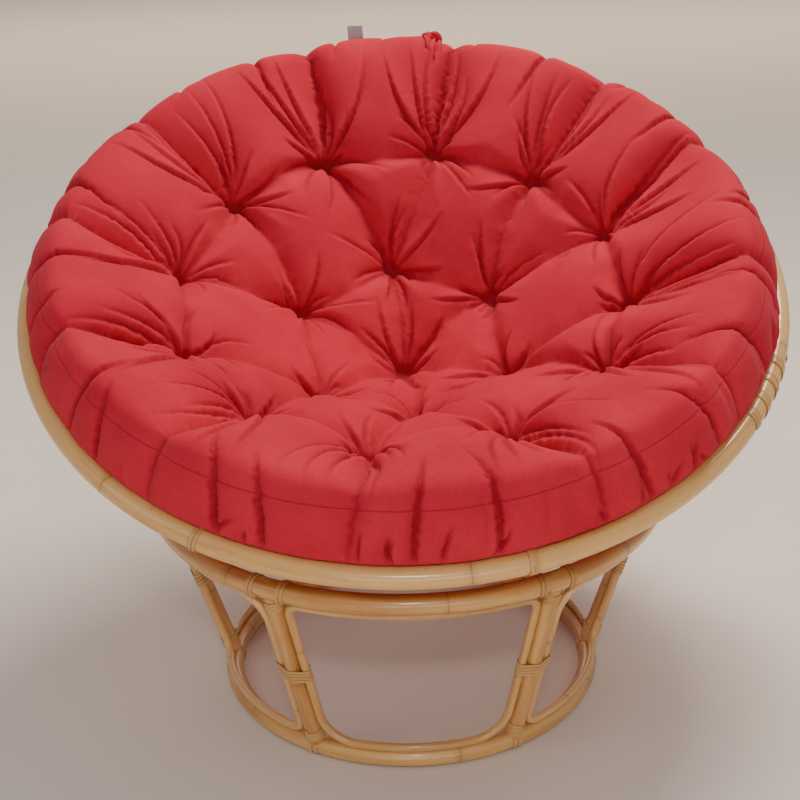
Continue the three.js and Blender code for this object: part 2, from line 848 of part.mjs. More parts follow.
const bounds = new THREE.Box3().setFromObject(chair, true);
const centre = bounds.getCenter(new THREE.Vector3());
chair.position.set(-centre.x, -centre.y, -bounds.min.z);
chair.updateMatrixWorld(true);

console.log(`Least gap of a winding to itself: ${Math.min(...selfGaps).toFixed(2)} mm`);

export default chair;
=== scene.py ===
import itertools
import math

import bpy
import numpy as np
from mathutils import Matrix, Vector


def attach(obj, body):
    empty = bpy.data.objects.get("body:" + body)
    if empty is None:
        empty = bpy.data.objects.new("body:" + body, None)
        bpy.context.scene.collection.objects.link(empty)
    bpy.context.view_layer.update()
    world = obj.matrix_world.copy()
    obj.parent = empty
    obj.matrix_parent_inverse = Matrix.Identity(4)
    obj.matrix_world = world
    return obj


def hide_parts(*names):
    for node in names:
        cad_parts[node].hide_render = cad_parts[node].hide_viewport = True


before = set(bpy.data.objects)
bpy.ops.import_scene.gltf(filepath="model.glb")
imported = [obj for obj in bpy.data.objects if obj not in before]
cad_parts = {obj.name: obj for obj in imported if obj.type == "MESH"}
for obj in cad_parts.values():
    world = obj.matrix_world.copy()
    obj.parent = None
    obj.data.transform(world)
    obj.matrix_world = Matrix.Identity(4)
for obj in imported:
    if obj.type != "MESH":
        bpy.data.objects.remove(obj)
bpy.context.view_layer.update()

# Sizes in metres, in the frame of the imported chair. The front faces -Y. Angles round an
# upright axis are counted from the front, towards +X.
MM = 0.001
FULL_TURN = 2 * math.pi

# A hoop's radius is that of its pole's centreline, and a pole's size is its own radius.
CHAIR_Y = -80.30 * MM
BOTTOM_HOOP_RADIUS = 271 * MM
BOTTOM_HOOP_HEIGHT = 14.55 * MM
TOP_HOOP_RADIUS = 360 * MM
TOP_HOOP_HEIGHT = 306 * MM
POST_COUNT = 6
BAY = FULL_TURN / POST_COUNT

BOTTOM_POLE = 13.2 * MM
TOP_POLE = 13.7 * MM
POST_POLE = 11.8 * MM
THIN_POLE = 5.8 * MM
RIM_POLE = 14.7 * MM
RIB_POLE = 8.7 * MM
CANE_GAP = 1.0 * MM
BAY_GAP = 1.1 * MM
BESIDE_POST = POST_POLE + THIN_POLE + CANE_GAP

# The bowl is part of a sphere about its centre. Its rim lies below that, and its poles and the
# cushion's back each have a radius of their own from it.
BOWL_CENTRE = Vector((0, CHAIR_Y, 768.74 * MM))
BOWL_TILT = math.radians(24.033)
RIM_RADIUS = 535 * MM
RIM_DROP = 197.18 * MM
RIB_LINE_RADIUS = 561.18 * MM
HOOP_LINE_RADIUS = 542.38 * MM
BACK_RADIUS = 533.08 * MM
MIDDLE_HOOP_RADIUS = 360 * MM
FLOOR_HOOP_RADIUS = 115 * MM
RIB_COUNT = 8

STRIP_WIDTH = 5 * MM
STRIP_THICKNESS = 1.25 * MM
STRIP_PITCH = 5.6 * MM

rng = np.random.default_rng(7)


# Places

def outward(angle):
    return Vector((math.sin(angle), -math.cos(angle), 0))


def along(angle):
    return Vector((math.cos(angle), math.sin(angle), 0))


UP = Vector((0, 0, 1))
BASE_AXIS = Vector((0, CHAIR_Y, 0))
BOWL_MATRIX = Matrix.Translation(BOWL_CENTRE) @ Matrix.Rotation(BOWL_TILT, 4, "X")


def hoop_place(radius, height, matrix=None):
    """A function that gives a point on a hoop's skin and the way it faces.

    It takes the angle along the hoop, the angle round its pole and the lift off its centreline.
    """
    def place(angle, lift_angle, lift):
        out = outward(angle)
        away = out * math.cos(lift_angle) + UP * math.sin(lift_angle)
        point = out * radius + UP * height + away * lift
        if matrix is None:
            return point + BASE_AXIS, away
        return matrix @ point, matrix.to_3x3() @ away
    return place


def bottom_place():
    return hoop_place(BOTTOM_HOOP_RADIUS, BOTTOM_HOOP_HEIGHT)


def top_place():
    return hoop_place(TOP_HOOP_RADIUS, TOP_HOOP_HEIGHT)


def rim_place():
    return hoop_place(RIM_RADIUS, -RIM_DROP, BOWL_MATRIX)


# Trees of nodes

def new_tree(kind, name, inputs, outputs):
    tree = bpy.data.node_groups.new(name, kind)
    for label, socket_type, default in inputs:
        socket = tree.interface.new_socket(name=label, in_out="INPUT", socket_type=socket_type)
        if default is not None:
            socket.default_value = default
    for label, socket_type in outputs:
        tree.interface.new_socket(name=label, in_out="OUTPUT", socket_type=socket_type)
    start = tree.nodes.new("NodeGroupInput")
    end = tree.nodes.new("NodeGroupOutput")
    return tree, start.outputs, end.inputs


def add(tree, kind, inputs=(), **settings):
    """Adds a node. Inputs are given by name or by number, as values or as sockets to link."""
    node = tree.nodes.new(kind)
    for key, value in settings.items():
        setattr(node, key, value)
    for key, value in dict(inputs).items():
        socket = node.inputs[key]
        if isinstance(value, bpy.types.NodeSocket):
            tree.links.new(value, socket)
        else:
            socket.default_value = value
    return node


def do(tree, operation, *values, clamp=False):
    """The result of a sum on values or sockets."""
    node = add(tree, "ShaderNodeMath", dict(enumerate(values)), operation=operation, use_clamp=clamp)
    return node.outputs[0]


def vector_of(tree, x=0.0, y=0.0, z=0.0):
    return add(tree, "ShaderNodeCombineXYZ", {"X": x, "Y": y, "Z": z}).outputs[0]


def noise(tree, vector, scale=1.0, detail=2.0, roughness=0.5):
    values = {"Vector": vector, "Scale": scale, "Detail": detail, "Roughness": roughness}
    return add(tree, "ShaderNodeTexNoise", values).outputs["Fac"]


def between(tree, value, low, high, out_low=0.0, out_high=1.0):
    """Maps a value from one range to another, and keeps it inside."""
    values = {"Value": value, "From Min": low, "From Max": high,
              "To Min": out_low, "To Max": out_high}
    return add(tree, "ShaderNodeMapRange", values).outputs["Result"]


def mixed(tree, share, first, second):
    """A mix of two colours. A mix node has its factor and its colours at these numbers."""
    return add(tree, "ShaderNodeMix", {0: share, 6: first, 7: second}, data_type="RGBA").outputs[2]


def colour(red, green, blue):
    """A colour from its values in 0 to 255, as seen on a screen."""
    def linear(value):
        share = value / 255
        return share / 12.92 if share <= 0.04045 else ((share + 0.055) / 1.055) ** 2.4
    return (linear(red), linear(green), linear(blue), 1)


# Shapes that follow a path

GEOMETRY = "NodeSocketGeometry"
NUMBER = "NodeSocketFloat"
WHOLE = "NodeSocketInt"
FINISH = "NodeSocketMaterial"
COLOUR = "NodeSocketColor"


def keep(tree, geometry, name, value, data_type="FLOAT"):
    node = add(tree, "GeometryNodeStoreNamedAttribute", {"Geometry": geometry, "Name": name},
               data_type=data_type, domain="POINT")
    tree.links.new(value, node.inputs["Value"])
    return node.outputs[0]


def finished(tree, end, geometry, finish):
    smooth = add(tree, "GeometryNodeSetShadeSmooth", {"Geometry": geometry}).outputs[0]
    real = add(tree, "GeometryNodeRealizeInstances", {"Geometry": smooth}).outputs[0]
    done = add(tree, "GeometryNodeSetMaterial", {"Geometry": real, "Material": finish}).outputs[0]
    tree.links.new(done, end["Geometry"])


RING_WANDER = 0.5
WAVES_PER_METRE = 9.0


def bent_cane_tree():
    """A cane pole along a path, with growth rings at uneven steps and a slight waviness."""
    tree, given, end = new_tree("GeometryNodeTree", "bent_cane", [
        ("Geometry", GEOMETRY, None),
        ("Pole Radius", NUMBER, 0.012),
        ("Sides", WHOLE, 24),
        ("Ring Spacing", NUMBER, 0.26),
        ("Ring Swell", NUMBER, 0.05),
        ("Ring Width", NUMBER, 0.006),
        ("Waviness", NUMBER, 0.02),
        ("Seed", WHOLE, 0),
        ("Material", FINISH, None),
    ], [("Geometry", GEOMETRY)])
    line = add(tree, "GeometryNodeMeshToCurve", {"Mesh": given["Geometry"]}).outputs[0]
    reach = add(tree, "GeometryNodeSplineParameter").outputs["Length"]
    step = do(tree, "DIVIDE", reach, given["Ring Spacing"])
    cell = do(tree, "FLOOR", step)
    chance = add(tree, "FunctionNodeRandomValue", {"ID": cell, "Seed": given["Seed"]}, data_type="FLOAT")
    chance = next(s for s in chance.outputs if s.enabled)
    ring_at = do(tree, "MULTIPLY_ADD", chance, RING_WANDER, (1 - RING_WANDER) / 2)
    off = do(tree, "SUBTRACT", do(tree, "SUBTRACT", step, cell), ring_at)
    off = do(tree, "DIVIDE", do(tree, "MULTIPLY", off, given["Ring Spacing"]), given["Ring Width"])
    swelling = do(tree, "POWER", math.e, do(tree, "MULTIPLY", do(tree, "MULTIPLY", off, off), -1.0))
    slow = noise(tree, vector_of(tree, reach, given["Seed"]), scale=WAVES_PER_METRE)
    wave = do(tree, "MULTIPLY", do(tree, "SUBTRACT", slow, 0.5), given["Waviness"])
    size = do(tree, "ADD", do(tree, "MULTIPLY_ADD", swelling, given["Ring Swell"], 1.0), wave)
    line = keep(tree, line, "along", reach)
    line = keep(tree, line, "ring_off", off)
    line = add(tree, "GeometryNodeSetCurveRadius", {"Curve": line, "Radius": size}).outputs[0]
    circle = add(tree, "GeometryNodeCurvePrimitiveCircle",
                 {"Resolution": given["Sides"], "Radius": given["Pole Radius"]}).outputs[0]
    turn = do(tree, "MULTIPLY", add(tree, "GeometryNodeSplineParameter").outputs["Factor"], FULL_TURN)
    circle = keep(tree, circle, "turn_x", do(tree, "COSINE", turn))
    circle = keep(tree, circle, "turn_y", do(tree, "SINE", turn))
    skin = add(tree, "GeometryNodeCurveToMesh",
               {"Curve": line, "Profile Curve": circle, "Fill Caps": True}).outputs[0]
    finished(tree, end, skin, given["Material"])
    return tree


STRIP_ROUNDING = 0.42
STRIP_GRAIN = 260.0
# How far in from a strip's edge its painted shade reaches, where the turns of a winding meet
STRIP_EDGE_SHADE = 0.25 * MM


def split_strip_tree():
    """A flat strip of split cane along a path, its face turned as the path's points say."""
    tree, given, end = new_tree("GeometryNodeTree", "split_cane_strip", [
        ("Geometry", GEOMETRY, None),
        ("Width", NUMBER, 0.005),
        ("Thickness", NUMBER, 0.00125),
        ("Material", FINISH, None),
    ], [("Geometry", GEOMETRY)])
    line = add(tree, "GeometryNodeMeshToCurve", {"Mesh": given["Geometry"]}).outputs[0]
    away = add(tree, "GeometryNodeInputNamedAttribute", {"Name": "away"}, data_type="FLOAT_VECTOR")
    line = add(tree, "GeometryNodeSetCurveNormal",
               {"Curve": line, "Normal": away.outputs[0]}, mode="FREE").outputs[0]
    line = keep(tree, line, "along", add(tree, "GeometryNodeSplineParameter").outputs["Length"])
    section = add(tree, "GeometryNodeCurvePrimitiveQuadrilateral",
                  {"Width": given["Thickness"], "Height": given["Width"]}, mode="RECTANGLE").outputs[0]
    rounding = do(tree, "MULTIPLY", given["Thickness"], STRIP_ROUNDING)
    section = add(tree, "GeometryNodeFilletCurve",
                  {"Curve": section, "Radius": rounding, "Count": 3}, mode="POLY").outputs[0]
    lift = vector_of(tree, do(tree, "MULTIPLY", given["Thickness"], 0.5))
    section = add(tree, "GeometryNodeTransform", {"Geometry": section, "Translation": lift}).outputs[0]
    position = add(tree, "GeometryNodeInputPosition").outputs[0]
    across = add(tree, "ShaderNodeSeparateXYZ", {0: position}).outputs["Y"]
    section = keep(tree, section, "turn_x", do(tree, "MULTIPLY", across, STRIP_GRAIN))
    # Nearness to the strip's edge, which sets the painted shade between the turns of a winding
    half_width = do(tree, "MULTIPLY", given["Width"], 0.5)
    inset = do(tree, "SUBTRACT", half_width, do(tree, "ABSOLUTE", across))
    painted_shading = do(tree, "DIVIDE", STRIP_EDGE_SHADE, do(tree, "ADD", inset, STRIP_EDGE_SHADE))
    section = keep(tree, section, "edge", painted_shading)
    skin = add(tree, "GeometryNodeCurveToMesh",
               {"Curve": line, "Profile Curve": section, "Fill Caps": True}).outputs[0]
    finished(tree, end, skin, given["Material"])
    return tree


def path_mesh(name, runs, closed=False):
    """A mesh of bare edges through each run of points. A point may come with the way its strip faces."""
    points, edges, aways = [], [], []
    for run in runs:
        first = len(points)
        for item in run:
            point, away = item if isinstance(item, tuple) else (item, UP)
            points.append(point)
            aways.append(away)
        count = len(run)
        edges += [(first + i, first + i + 1) for i in range(count - 1)]
        if closed:
            edges.append((first + count - 1, first))
    mesh = bpy.data.meshes.new(name)
    mesh.from_pydata([tuple(p) for p in points], edges, [])
    attribute = mesh.attributes.new("away", "FLOAT_VECTOR", "POINT")
    attribute.data.foreach_set("vector", np.array([tuple(a) for a in aways], np.float32).ravel())
    return mesh


def mark(mesh, name, values):
    """Gives each point of a mesh a number that its finish reads."""
    attribute = mesh.attributes.new(name, "FLOAT", "POINT")
    attribute.data.foreach_set("value", np.broadcast_to(values, len(mesh.vertices)).astype(np.float32))


def in_scene(name, data):
    thing = bpy.data.objects.new(name, data)
    bpy.context.scene.collection.objects.link(thing)
    return thing


def made(name, mesh, tree, **values):
    """Runs a tree of nodes on a mesh and keeps the result as a plain mesh."""
    piece = in_scene(name, mesh)
    modifier = piece.modifiers.new(tree.name, "NODES")
    modifier.node_group = tree
    named = {s.name: s.identifier for s in tree.interface.items_tree if s.in_out == "INPUT"}
    for key, value in values.items():
        modifier[named[key.replace("_", " ")]] = value
    bpy.context.view_layer.update()
    view = bpy.context.evaluated_depsgraph_get()
    plain = bpy.data.meshes.new_from_object(piece.evaluated_get(view))
    plain.name = name
    piece.modifiers.clear()
    piece.data = plain
    bpy.data.meshes.remove(mesh)
    return piece


# Finishes

def cane_skin_group():
    """Streaks, mottling, flecks and dark growth rings of varnished cane, and painted shade along the edges
    of split strips.
    """
    tree, given, end = new_tree("ShaderNodeTree", "cane_skin", [
        ("Along", NUMBER, 0.0),
        ("Turn X", NUMBER, 0.0),
        ("Turn Y", NUMBER, 0.0),
        ("Ring Off", NUMBER, 9.0),
        ("Edge", NUMBER, 0.0),
        ("Shade", NUMBER, 0.0),
        ("Pale", COLOUR, colour(222, 172, 112)),
        ("Deep", COLOUR, colour(178, 118, 58)),
        ("Burnt", COLOUR, colour(96, 54, 26)),
        ("Streaks", NUMBER, 0.5),
    ], [("Color", COLOUR), ("Roughness", NUMBER), ("Height", NUMBER)])
    streak_depth, fleck_depth, glow_depth, ring_depth, edge_depth = 0.55, 0.45, 0.38, 0.45, 0.65
    own_seed = do(tree, "MULTIPLY", given["Shade"], 37.0)

    def on_pole(across, lengthways, shift):
        """Where a noise is read on the skin: its fineness round the pole and for each metre along it."""
        return vector_of(tree, do(tree, "MULTIPLY_ADD", given["Turn X"], across, own_seed),
                         do(tree, "MULTIPLY_ADD", given["Turn Y"], across, shift),
                         do(tree, "MULTIPLY", given["Along"], lengthways))

    fibre = noise(tree, on_pole(26.0, 14.0, 3.0), detail=3.0, roughness=0.7)
    cloudy = noise(tree, on_pole(1.1, 9.0, 8.0), detail=2.0)
    patch = noise(tree, on_pole(0.8, 3.0, 21.0), detail=1.0)
    flecks = noise(tree, on_pole(9.0, 160.0, 5.0), detail=1.0)
    amount = do(tree, "ADD", between(tree, cloudy, 0.3, 0.7, -0.25, 0.45),
                between(tree, patch, 0.35, 0.7, -0.1, 0.5))
    amount = do(tree, "ADD", amount, do(tree, "MULTIPLY", given["Shade"], 0.35), clamp=True)
    base = mixed(tree, amount, given["Pale"], given["Deep"])
    streak = do(tree, "MULTIPLY", between(tree, fibre, 0.42, 0.72), given["Streaks"])
    base = mixed(tree, do(tree, "MULTIPLY", streak, streak_depth), base, given["Deep"])
    fleck = do(tree, "MULTIPLY", between(tree, flecks, 0.68, 0.76), fleck_depth)
    base = mixed(tree, fleck, base, given["Burnt"])
    ragged = between(tree, cloudy, 0.0, 1.0, -0.25, 0.25)
    off_ring = do(tree, "ABSOLUTE", do(tree, "ADD", given["Ring Off"], ragged))
    ring = between(tree, off_ring, 0.05, 0.3, ring_depth, 0.0)
    glow = between(tree, off_ring, 0.2, 2.4, glow_depth, 0.0)
    base = mixed(tree, glow, base, given["Deep"])
    base = mixed(tree, ring, base, given["Burnt"])
    # Painted shade along the edges of split strips, where the turns of a winding meet
    painted_shading = between(tree, given["Edge"], 0.3, 0.95, 0.0, edge_depth)
    base = mixed(tree, painted_shading, base, given["Burnt"])
    tree.links.new(base, end["Color"])
    tree.links.new(between(tree, fibre, 0.3, 0.8, 0.24, 0.42), end["Roughness"])
    height = do(tree, "SUBTRACT", do(tree, "MULTIPLY", fibre, 0.5), ring)
    tree.links.new(height, end["Height"])
    return tree


def woven_cloth_group():
    """Threads, slubs and soft fading of a plain brushed cotton, with painted shading on its folds and
    painted shade in its gaps and seam.
    """
    tree, given, end = new_tree("ShaderNodeTree", "woven_cloth", [
        ("Across", NUMBER, 0.0),
        ("Down", NUMBER, 0.0),
        ("Thread", NUMBER, 0.0007),
        ("Bright", COLOUR, colour(214, 56, 58)),
        ("Dull", COLOUR, colour(176, 34, 38)),
        ("Dark", COLOUR, colour(130, 16, 27)),
        ("Painted Shading", NUMBER, 0.0),
        ("Gap", NUMBER, 0.0),
        ("From Seam", NUMBER, 1.0),
    ], [("Color", COLOUR), ("Roughness", NUMBER), ("Height", NUMBER)])
    u = do(tree, "DIVIDE", given["Across"], given["Thread"])
    v = do(tree, "DIVIDE", given["Down"], given["Thread"])
    warp = do(tree, "SINE", do(tree, "MULTIPLY", u, math.pi))
    weft = do(tree, "SINE", do(tree, "MULTIPLY", v, math.pi))
    weave = do(tree, "MULTIPLY", warp, weft)

    def slubbed(per_metre_across, per_metre_down, shift):
        seat = vector_of(tree, do(tree, "MULTIPLY", given["Across"], per_metre_across),
                         do(tree, "MULTIPLY", given["Down"], per_metre_down), shift)
        return noise(tree, seat, detail=3.0)

    slubs = slubbed(500.0, 60.0, 0.0)
    cross = slubbed(60.0, 500.0, 4.0)
    fading = noise(tree, vector_of(tree, given["Across"], given["Down"], 2.0), scale=7.0, detail=4.0)
    tone = do(tree, "ADD", between(tree, slubs, 0.3, 0.7, -0.12, 0.12),
              between(tree, cross, 0.3, 0.7, -0.12, 0.12))
    tone = do(tree, "ADD", tone, between(tree, fading, 0.3, 0.7, 0.14, 0.66))
    # Painted shading on the folds: darker where the cloth is pulled in, lighter where it stands up
    tone = do(tree, "ADD", tone, do(tree, "MULTIPLY", given["Painted Shading"], 0.35), clamp=True)
    # Painted shade drawn with the dark colour: in the gaps of creases, folds and tuft pits, and along the
    # seam's groove
    seam = between(tree, do(tree, "ABSOLUTE", given["From Seam"]), 0.5 * MM, 1.5 * MM, 1.0, 0.0)
    gap_depth, seam_depth = 0.55, 0.5
    shaded = do(tree, "MAXIMUM", do(tree, "MULTIPLY", given["Gap"], gap_depth),
                do(tree, "MULTIPLY", seam, seam_depth))
    cover = mixed(tree, tone, given["Bright"], given["Dull"])
    tree.links.new(mixed(tree, shaded, cover, given["Dark"]), end["Color"])
    tree.links.new(between(tree, fading, 0.3, 0.7, 0.78, 0.92), end["Roughness"])
    height = do(tree, "ADD", do(tree, "MULTIPLY", weave, 0.35), do(tree, "ADD", slubs, cross))
    tree.links.new(do(tree, "SUBTRACT", height, do(tree, "MULTIPLY", seam, 3.0)), end["Height"])
    return tree


def new_finish(name):
    finish = bpy.data.materials.new(name)
    finish.use_nodes = True
    tree = finish.node_tree
    return finish, tree, tree.nodes["Principled BSDF"]


def attributes_of(tree, names):
    """The sockets of a piece's own attributes, for the inputs of a group that they feed."""
    return {label: add(tree, "ShaderNodeAttribute", attribute_name=name).outputs["Fac"]
            for label, name in names.items()}


def set_inputs(shader, **values):
    for label, value in values.items():
        shader.inputs[label.replace("_", " ")].default_value = value


def wire(tree, shader, group, bump_strength, bump_distance):
    tree.links.new(group.outputs["Color"], shader.inputs["Base Color"])
    tree.links.new(group.outputs["Roughness"], shader.inputs["Roughness"])
    bump = add(tree, "ShaderNodeBump", {"Strength": bump_strength, "Distance": bump_distance,
                                        "Height": group.outputs["Height"]})
    tree.links.new(bump.outputs[0], shader.inputs["Normal"])


def cane_finish(name, coat, pale, deep, burnt, streaks, ringed=True):
    finish, tree, shader = new_finish(name)
    read = {"Along": "along", "Turn X": "turn_x", "Turn Y": "turn_y", "Shade": "shade", "Edge": "edge"}
    if ringed:
        read["Ring Off"] = "ring_off"
    values = {"Pale": pale, "Deep": deep, "Burnt": burnt, "Streaks": streaks, **attributes_of(tree, read)}
    skin = add(tree, "ShaderNodeGroup", values, node_tree=CANE_SKIN)
    wire(tree, shader, skin, bump_strength=0.35, bump_distance=0.4 * MM)
    set_inputs(shader, Coat_Weight=coat, Coat_Roughness=0.14, Specular_IOR_Level=0.45)
    return finish


def cloth_finish(name, bright, dull, thread, sheen):
    finish, tree, shader = new_finish(name)
    seat = add(tree, "ShaderNodeUVMap", uv_map="cloth").outputs[0]
    parts = add(tree, "ShaderNodeSeparateXYZ", {0: seat}).outputs
    read = {"Painted Shading": "painted_shading", "Gap": "gap", "From Seam": "from_seam"}
    values = {"Bright": bright, "Dull": dull, "Thread": thread, "Across": parts["X"],
              "Down": parts["Y"], **attributes_of(tree, read)}
    skin = add(tree, "ShaderNodeGroup", values, node_tree=WOVEN_CLOTH)
    wire(tree, shader, skin, bump_strength=0.25, bump_distance=0.5 * MM)
    set_inputs(shader, Specular_IOR_Level=0.14, Sheen_Weight=sheen, Sheen_Roughness=0.45,
               Sheen_Tint=colour(255, 190, 200))
    return finish


def steel_finish(name):
    finish, tree, shader = new_finish(name)
    seat = add(tree, "ShaderNodeTexCoord").outputs["Object"]
    grain = noise(tree, seat, scale=900.0, detail=2.0)
    tone = mixed(tree, grain, colour(120, 112, 104), colour(176, 168, 158))
    tree.links.new(tone, shader.inputs["Base Color"])
    tree.links.new(between(tree, grain, 0.3, 0.7, 0.3, 0.5), shader.inputs["Roughness"])
    set_inputs(shader, Metallic=1.0)
    return finish


CANE_SKIN = cane_skin_group()
WOVEN_CLOTH = woven_cloth_group()
VARNISHED = cane_finish("varnished_cane", coat=0.5, pale=colour(226, 174, 104),
                        deep=colour(182, 122, 56), burnt=colour(96, 54, 24), streaks=0.5)
THIN = cane_finish("thin_cane", coat=0.5, pale=colour(222, 172, 106),
                   deep=colour(180, 126, 62), burnt=colour(104, 62, 30), streaks=0.6)
STRIP = cane_finish("split_cane", coat=0.35, pale=colour(216, 168, 104),
                    deep=colour(178, 122, 58), burnt=colour(120, 78, 44), streaks=0.9, ringed=False)
RED_CLOTH = cloth_finish("red_cloth", bright=colour(204, 41, 59), dull=colour(170, 27, 44),
                         thread=0.7 * MM, sheen=0.06)
LABEL_CLOTH = cloth_finish("label_cloth", bright=colour(176, 164, 170), dull=colour(150, 138, 146),
                           thread=0.4 * MM, sheen=0.1)
STEEL = steel_finish("steel")

BENT_CANE = bent_cane_tree()
SPLIT_STRIP = split_strip_tree()


def dress(piece, body, nodes):
    """Says which body the piece rides on and the nodes of the solids it stands for."""
    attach(piece, body)
    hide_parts(*nodes)


seeds = itertools.count(1)


def pole(name, runs, radius, finish, body, nodes, closed=False, sides=24, rings=0.26,
         swell=0.035, ring_width=5 * MM):
    """A round cane with a shade and growth rings of its own."""
    piece = made(name, path_mesh(name, runs, closed), BENT_CANE, Pole_Radius=radius, Sides=sides,
                 Ring_Spacing=rings, Ring_Swell=swell, Ring_Width=ring_width, Seed=next(seeds),
                 Material=finish)
    mark(piece.data, "shade", rng.uniform(-1, 1))
    dress(piece, body, nodes)


def strips(name, runs, body, nodes, width=STRIP_WIDTH):
    """Windings of split cane, as one piece with a shade of its own."""
    piece = made(name, path_mesh(name, runs), SPLIT_STRIP, Width=width, Thickness=STRIP_THICKNESS,
                 Material=STRIP)
    mark(piece.data, "shade", rng.uniform(-1, 1))
    dress(piece, body, nodes)


# The base

def even_steps(low, high, count):
    """Values in even steps, with both ends."""
    return [low + (high - low) * k / count for k in range(count + 1)]


def circle_run(place, count):
    """A closed ring of points that starts at the back, where the joint in its grain shows least."""
    return [place(math.pi + i / count * FULL_TURN, 0, 0)[0] for i in range(count)]


slant = Vector((TOP_HOOP_RADIUS - BOTTOM_HOOP_RADIUS, TOP_HOOP_HEIGHT - BOTTOM_HOOP_HEIGHT))
SLANT_LENGTH = slant.length
slant.normalize()


def radius_at(way):
    """The base's radius at a way up its side, which counts along the slant from the bottom hoop."""
    return BOTTOM_HOOP_RADIUS + slant.x * way


def side_point(angle, way):
    return BASE_AXIS + outward(angle) * radius_at(way) + UP * (BOTTOM_HOOP_HEIGHT + slant.y * way)


CORNER_STEPS, RISE_STEPS, RUN_STEPS = 8, 24, 40


def bay_run(left, corners):
    """The closed line of the thin cane inside one bay. Corners: top left, top right, bottom left, right."""
    top_left, top_right, bottom_left, bottom_right = corners
    right = left + BAY
    low = BOTTOM_POLE + THIN_POLE + BAY_GAP
    high = SLANT_LENGTH - TOP_POLE - THIN_POLE - BAY_GAP
    path = []

    def beside(post_angle, side, across, way):
        return post_angle + side * math.atan(across / radius_at(way))

    def corner(post_angle, side, level, upwards, radius, start, stop):
        for i in range(CORNER_STEPS + 1):
            turn = (start + (stop - start) * i / CORNER_STEPS) * math.pi / 2
            across = BESIDE_POST + radius * (1 - math.cos(turn))
            way = level - upwards * radius * (1 - math.sin(turn))
            path.append((beside(post_angle, side, across, way), way))

    def rise(post_angle, side, level):
        last_way = path[-1][1]
        for i in range(1, RISE_STEPS):
            way = last_way + (level - last_way) * i / RISE_STEPS
            path.append((beside(post_angle, side, BESIDE_POST, way), way))

    def run(post_angle, side, radius, level):
        last_angle = path[-1][0]
        next_angle = beside(post_angle, side, BESIDE_POST + radius, level)
        for i in range(1, RUN_STEPS):
            path.append((last_angle + (next_angle - last_angle) * i / RUN_STEPS, level))

    corner(left, 1, low, -1, bottom_left, 1, 0)
    rise(left, 1, high - top_left)
    corner(left, 1, high, 1, top_left, 0, 1)
    run(right, -1, top_right, high)
    corner(right, -1, high, 1, top_right, 1, 0)
    rise(right, -1, low + bottom_right)
    corner(right, -1, low, -1, bottom_right, 0, 1)
    run(left, 1, bottom_left, low)
    return [side_point(angle, way) for angle, way in path]


TIGHT_BEND, WIDE_BEND = 22 * MM, 46 * MM


def bay_corners(index):
    """The bends of one bay's cane: top left, top right, bottom left and bottom right."""
    if index in (POST_COUNT - 1, POST_COUNT // 2 - 1):
        return TIGHT_BEND, TIGHT_BEND, WIDE_BEND, WIDE_BEND
    if index in (0, POST_COUNT // 2):
        return WIDE_BEND, TIGHT_BEND, TIGHT_BEND, TIGHT_BEND
    return TIGHT_BEND, WIDE_BEND, TIGHT_BEND, TIGHT_BEND


def post_frame(angle):
    """A post's foot, and the ways along it, across it and out of the base."""
    foot = side_point(angle, 0)
    axis = (side_point(angle, SLANT_LENGTH) - foot).normalized()
    across = along(angle)
    return foot, axis, across, across.cross(axis)


def helix(turns, reach_at, point_at, steps=30, start=0.0):
    """Points of a winding: reach_at(turn) along the wound pole, point_at(reach, angle) on it."""
    count = round(turns * steps)
    return [point_at(reach_at(i / steps), (start + i / steps) * FULL_TURN) for i in range(count + 1)]


def round_post(angle, radius):
    """Where a winding round a post passes, its reach counted from the post's foot."""
    foot, axis, across, face = post_frame(angle)

    def point_at(reach, turn):
        away = face * math.cos(turn) + across * math.sin(turn)
        return foot + axis * reach + away * radius, away
    return point_at


def round_hoop(place, angle, hoop_radius, lift):
    """Where a winding round a hoop passes, its reach counted along the hoop from an angle."""
    return lambda reach, turn: place(angle + reach / hoop_radius, turn, lift)


def evenly(turns, pitch, middle=0.0):
    """How far along a winding is at each turn, at an even pitch to both sides of its middle."""
    return lambda turn: middle + (turn - turns / 2) * pitch


def hull_side(points):
    """One side of the hull round some points, which come sorted along it."""
    kept = []
    for p in points:
        while len(kept) > 1 and ((kept[-1][0] - kept[-2][0]) * (p[1] - kept[-2][1])
                                 - (kept[-1][1] - kept[-2][1]) * (p[0] - kept[-2][0])) <= 0:
            kept.pop()
        kept.append(p)
    return kept[:-1]


def bundle_outline(sides=64, spacing=2 * MM):
    """The line drawn tight round a post and the two thin canes beside it: x, y and facing turn."""
    corners = []
    for x, radius in ((0.0, POST_POLE), (BESIDE_POST, THIN_POLE), (-BESIDE_POST, THIN_POLE)):
        for i in range(sides):
            turn = i / sides * FULL_TURN
            corners.append((x + radius * math.cos(turn), radius * math.sin(turn), turn))
    corners.sort()
    hull = hull_side(corners) + hull_side(corners[::-1])
    line = []
    for (x, y, turn), (next_x, next_y, next_turn) in zip(hull, hull[1:] + hull[:1]):
        pieces = max(1, round(math.dist((x, y), (next_x, next_y)) / spacing))
        swing = (next_turn - turn + math.pi) % FULL_TURN - math.pi
        for k in range(pieces):
            share = k / pieces
            line.append((x + (next_x - x) * share, y + (next_y - y) * share, turn + swing * share))
    return line


def bundle_winding(angle, turns, pitch, lift, start):
    """Points of a winding round the middle of a post and the canes beside it."""
    foot, axis, across, face = post_frame(angle)
    halfway = (foot + side_point(angle, SLANT_LENGTH)) / 2
    reach_at = evenly(turns, pitch)
    line = bundle_outline()
    first = round(start * len(line))
    run = []
    for i in range(round(turns * len(line)) + 1):
        x, y, turn = line[(first + i) % len(line)]
        away = across * math.cos(turn) + face * math.sin(turn)
        middle = halfway + axis * reach_at(i / len(line))
        run.append((middle + across * x + face * y + away * lift, away))
    return run


POST_INSET = 4 * MM


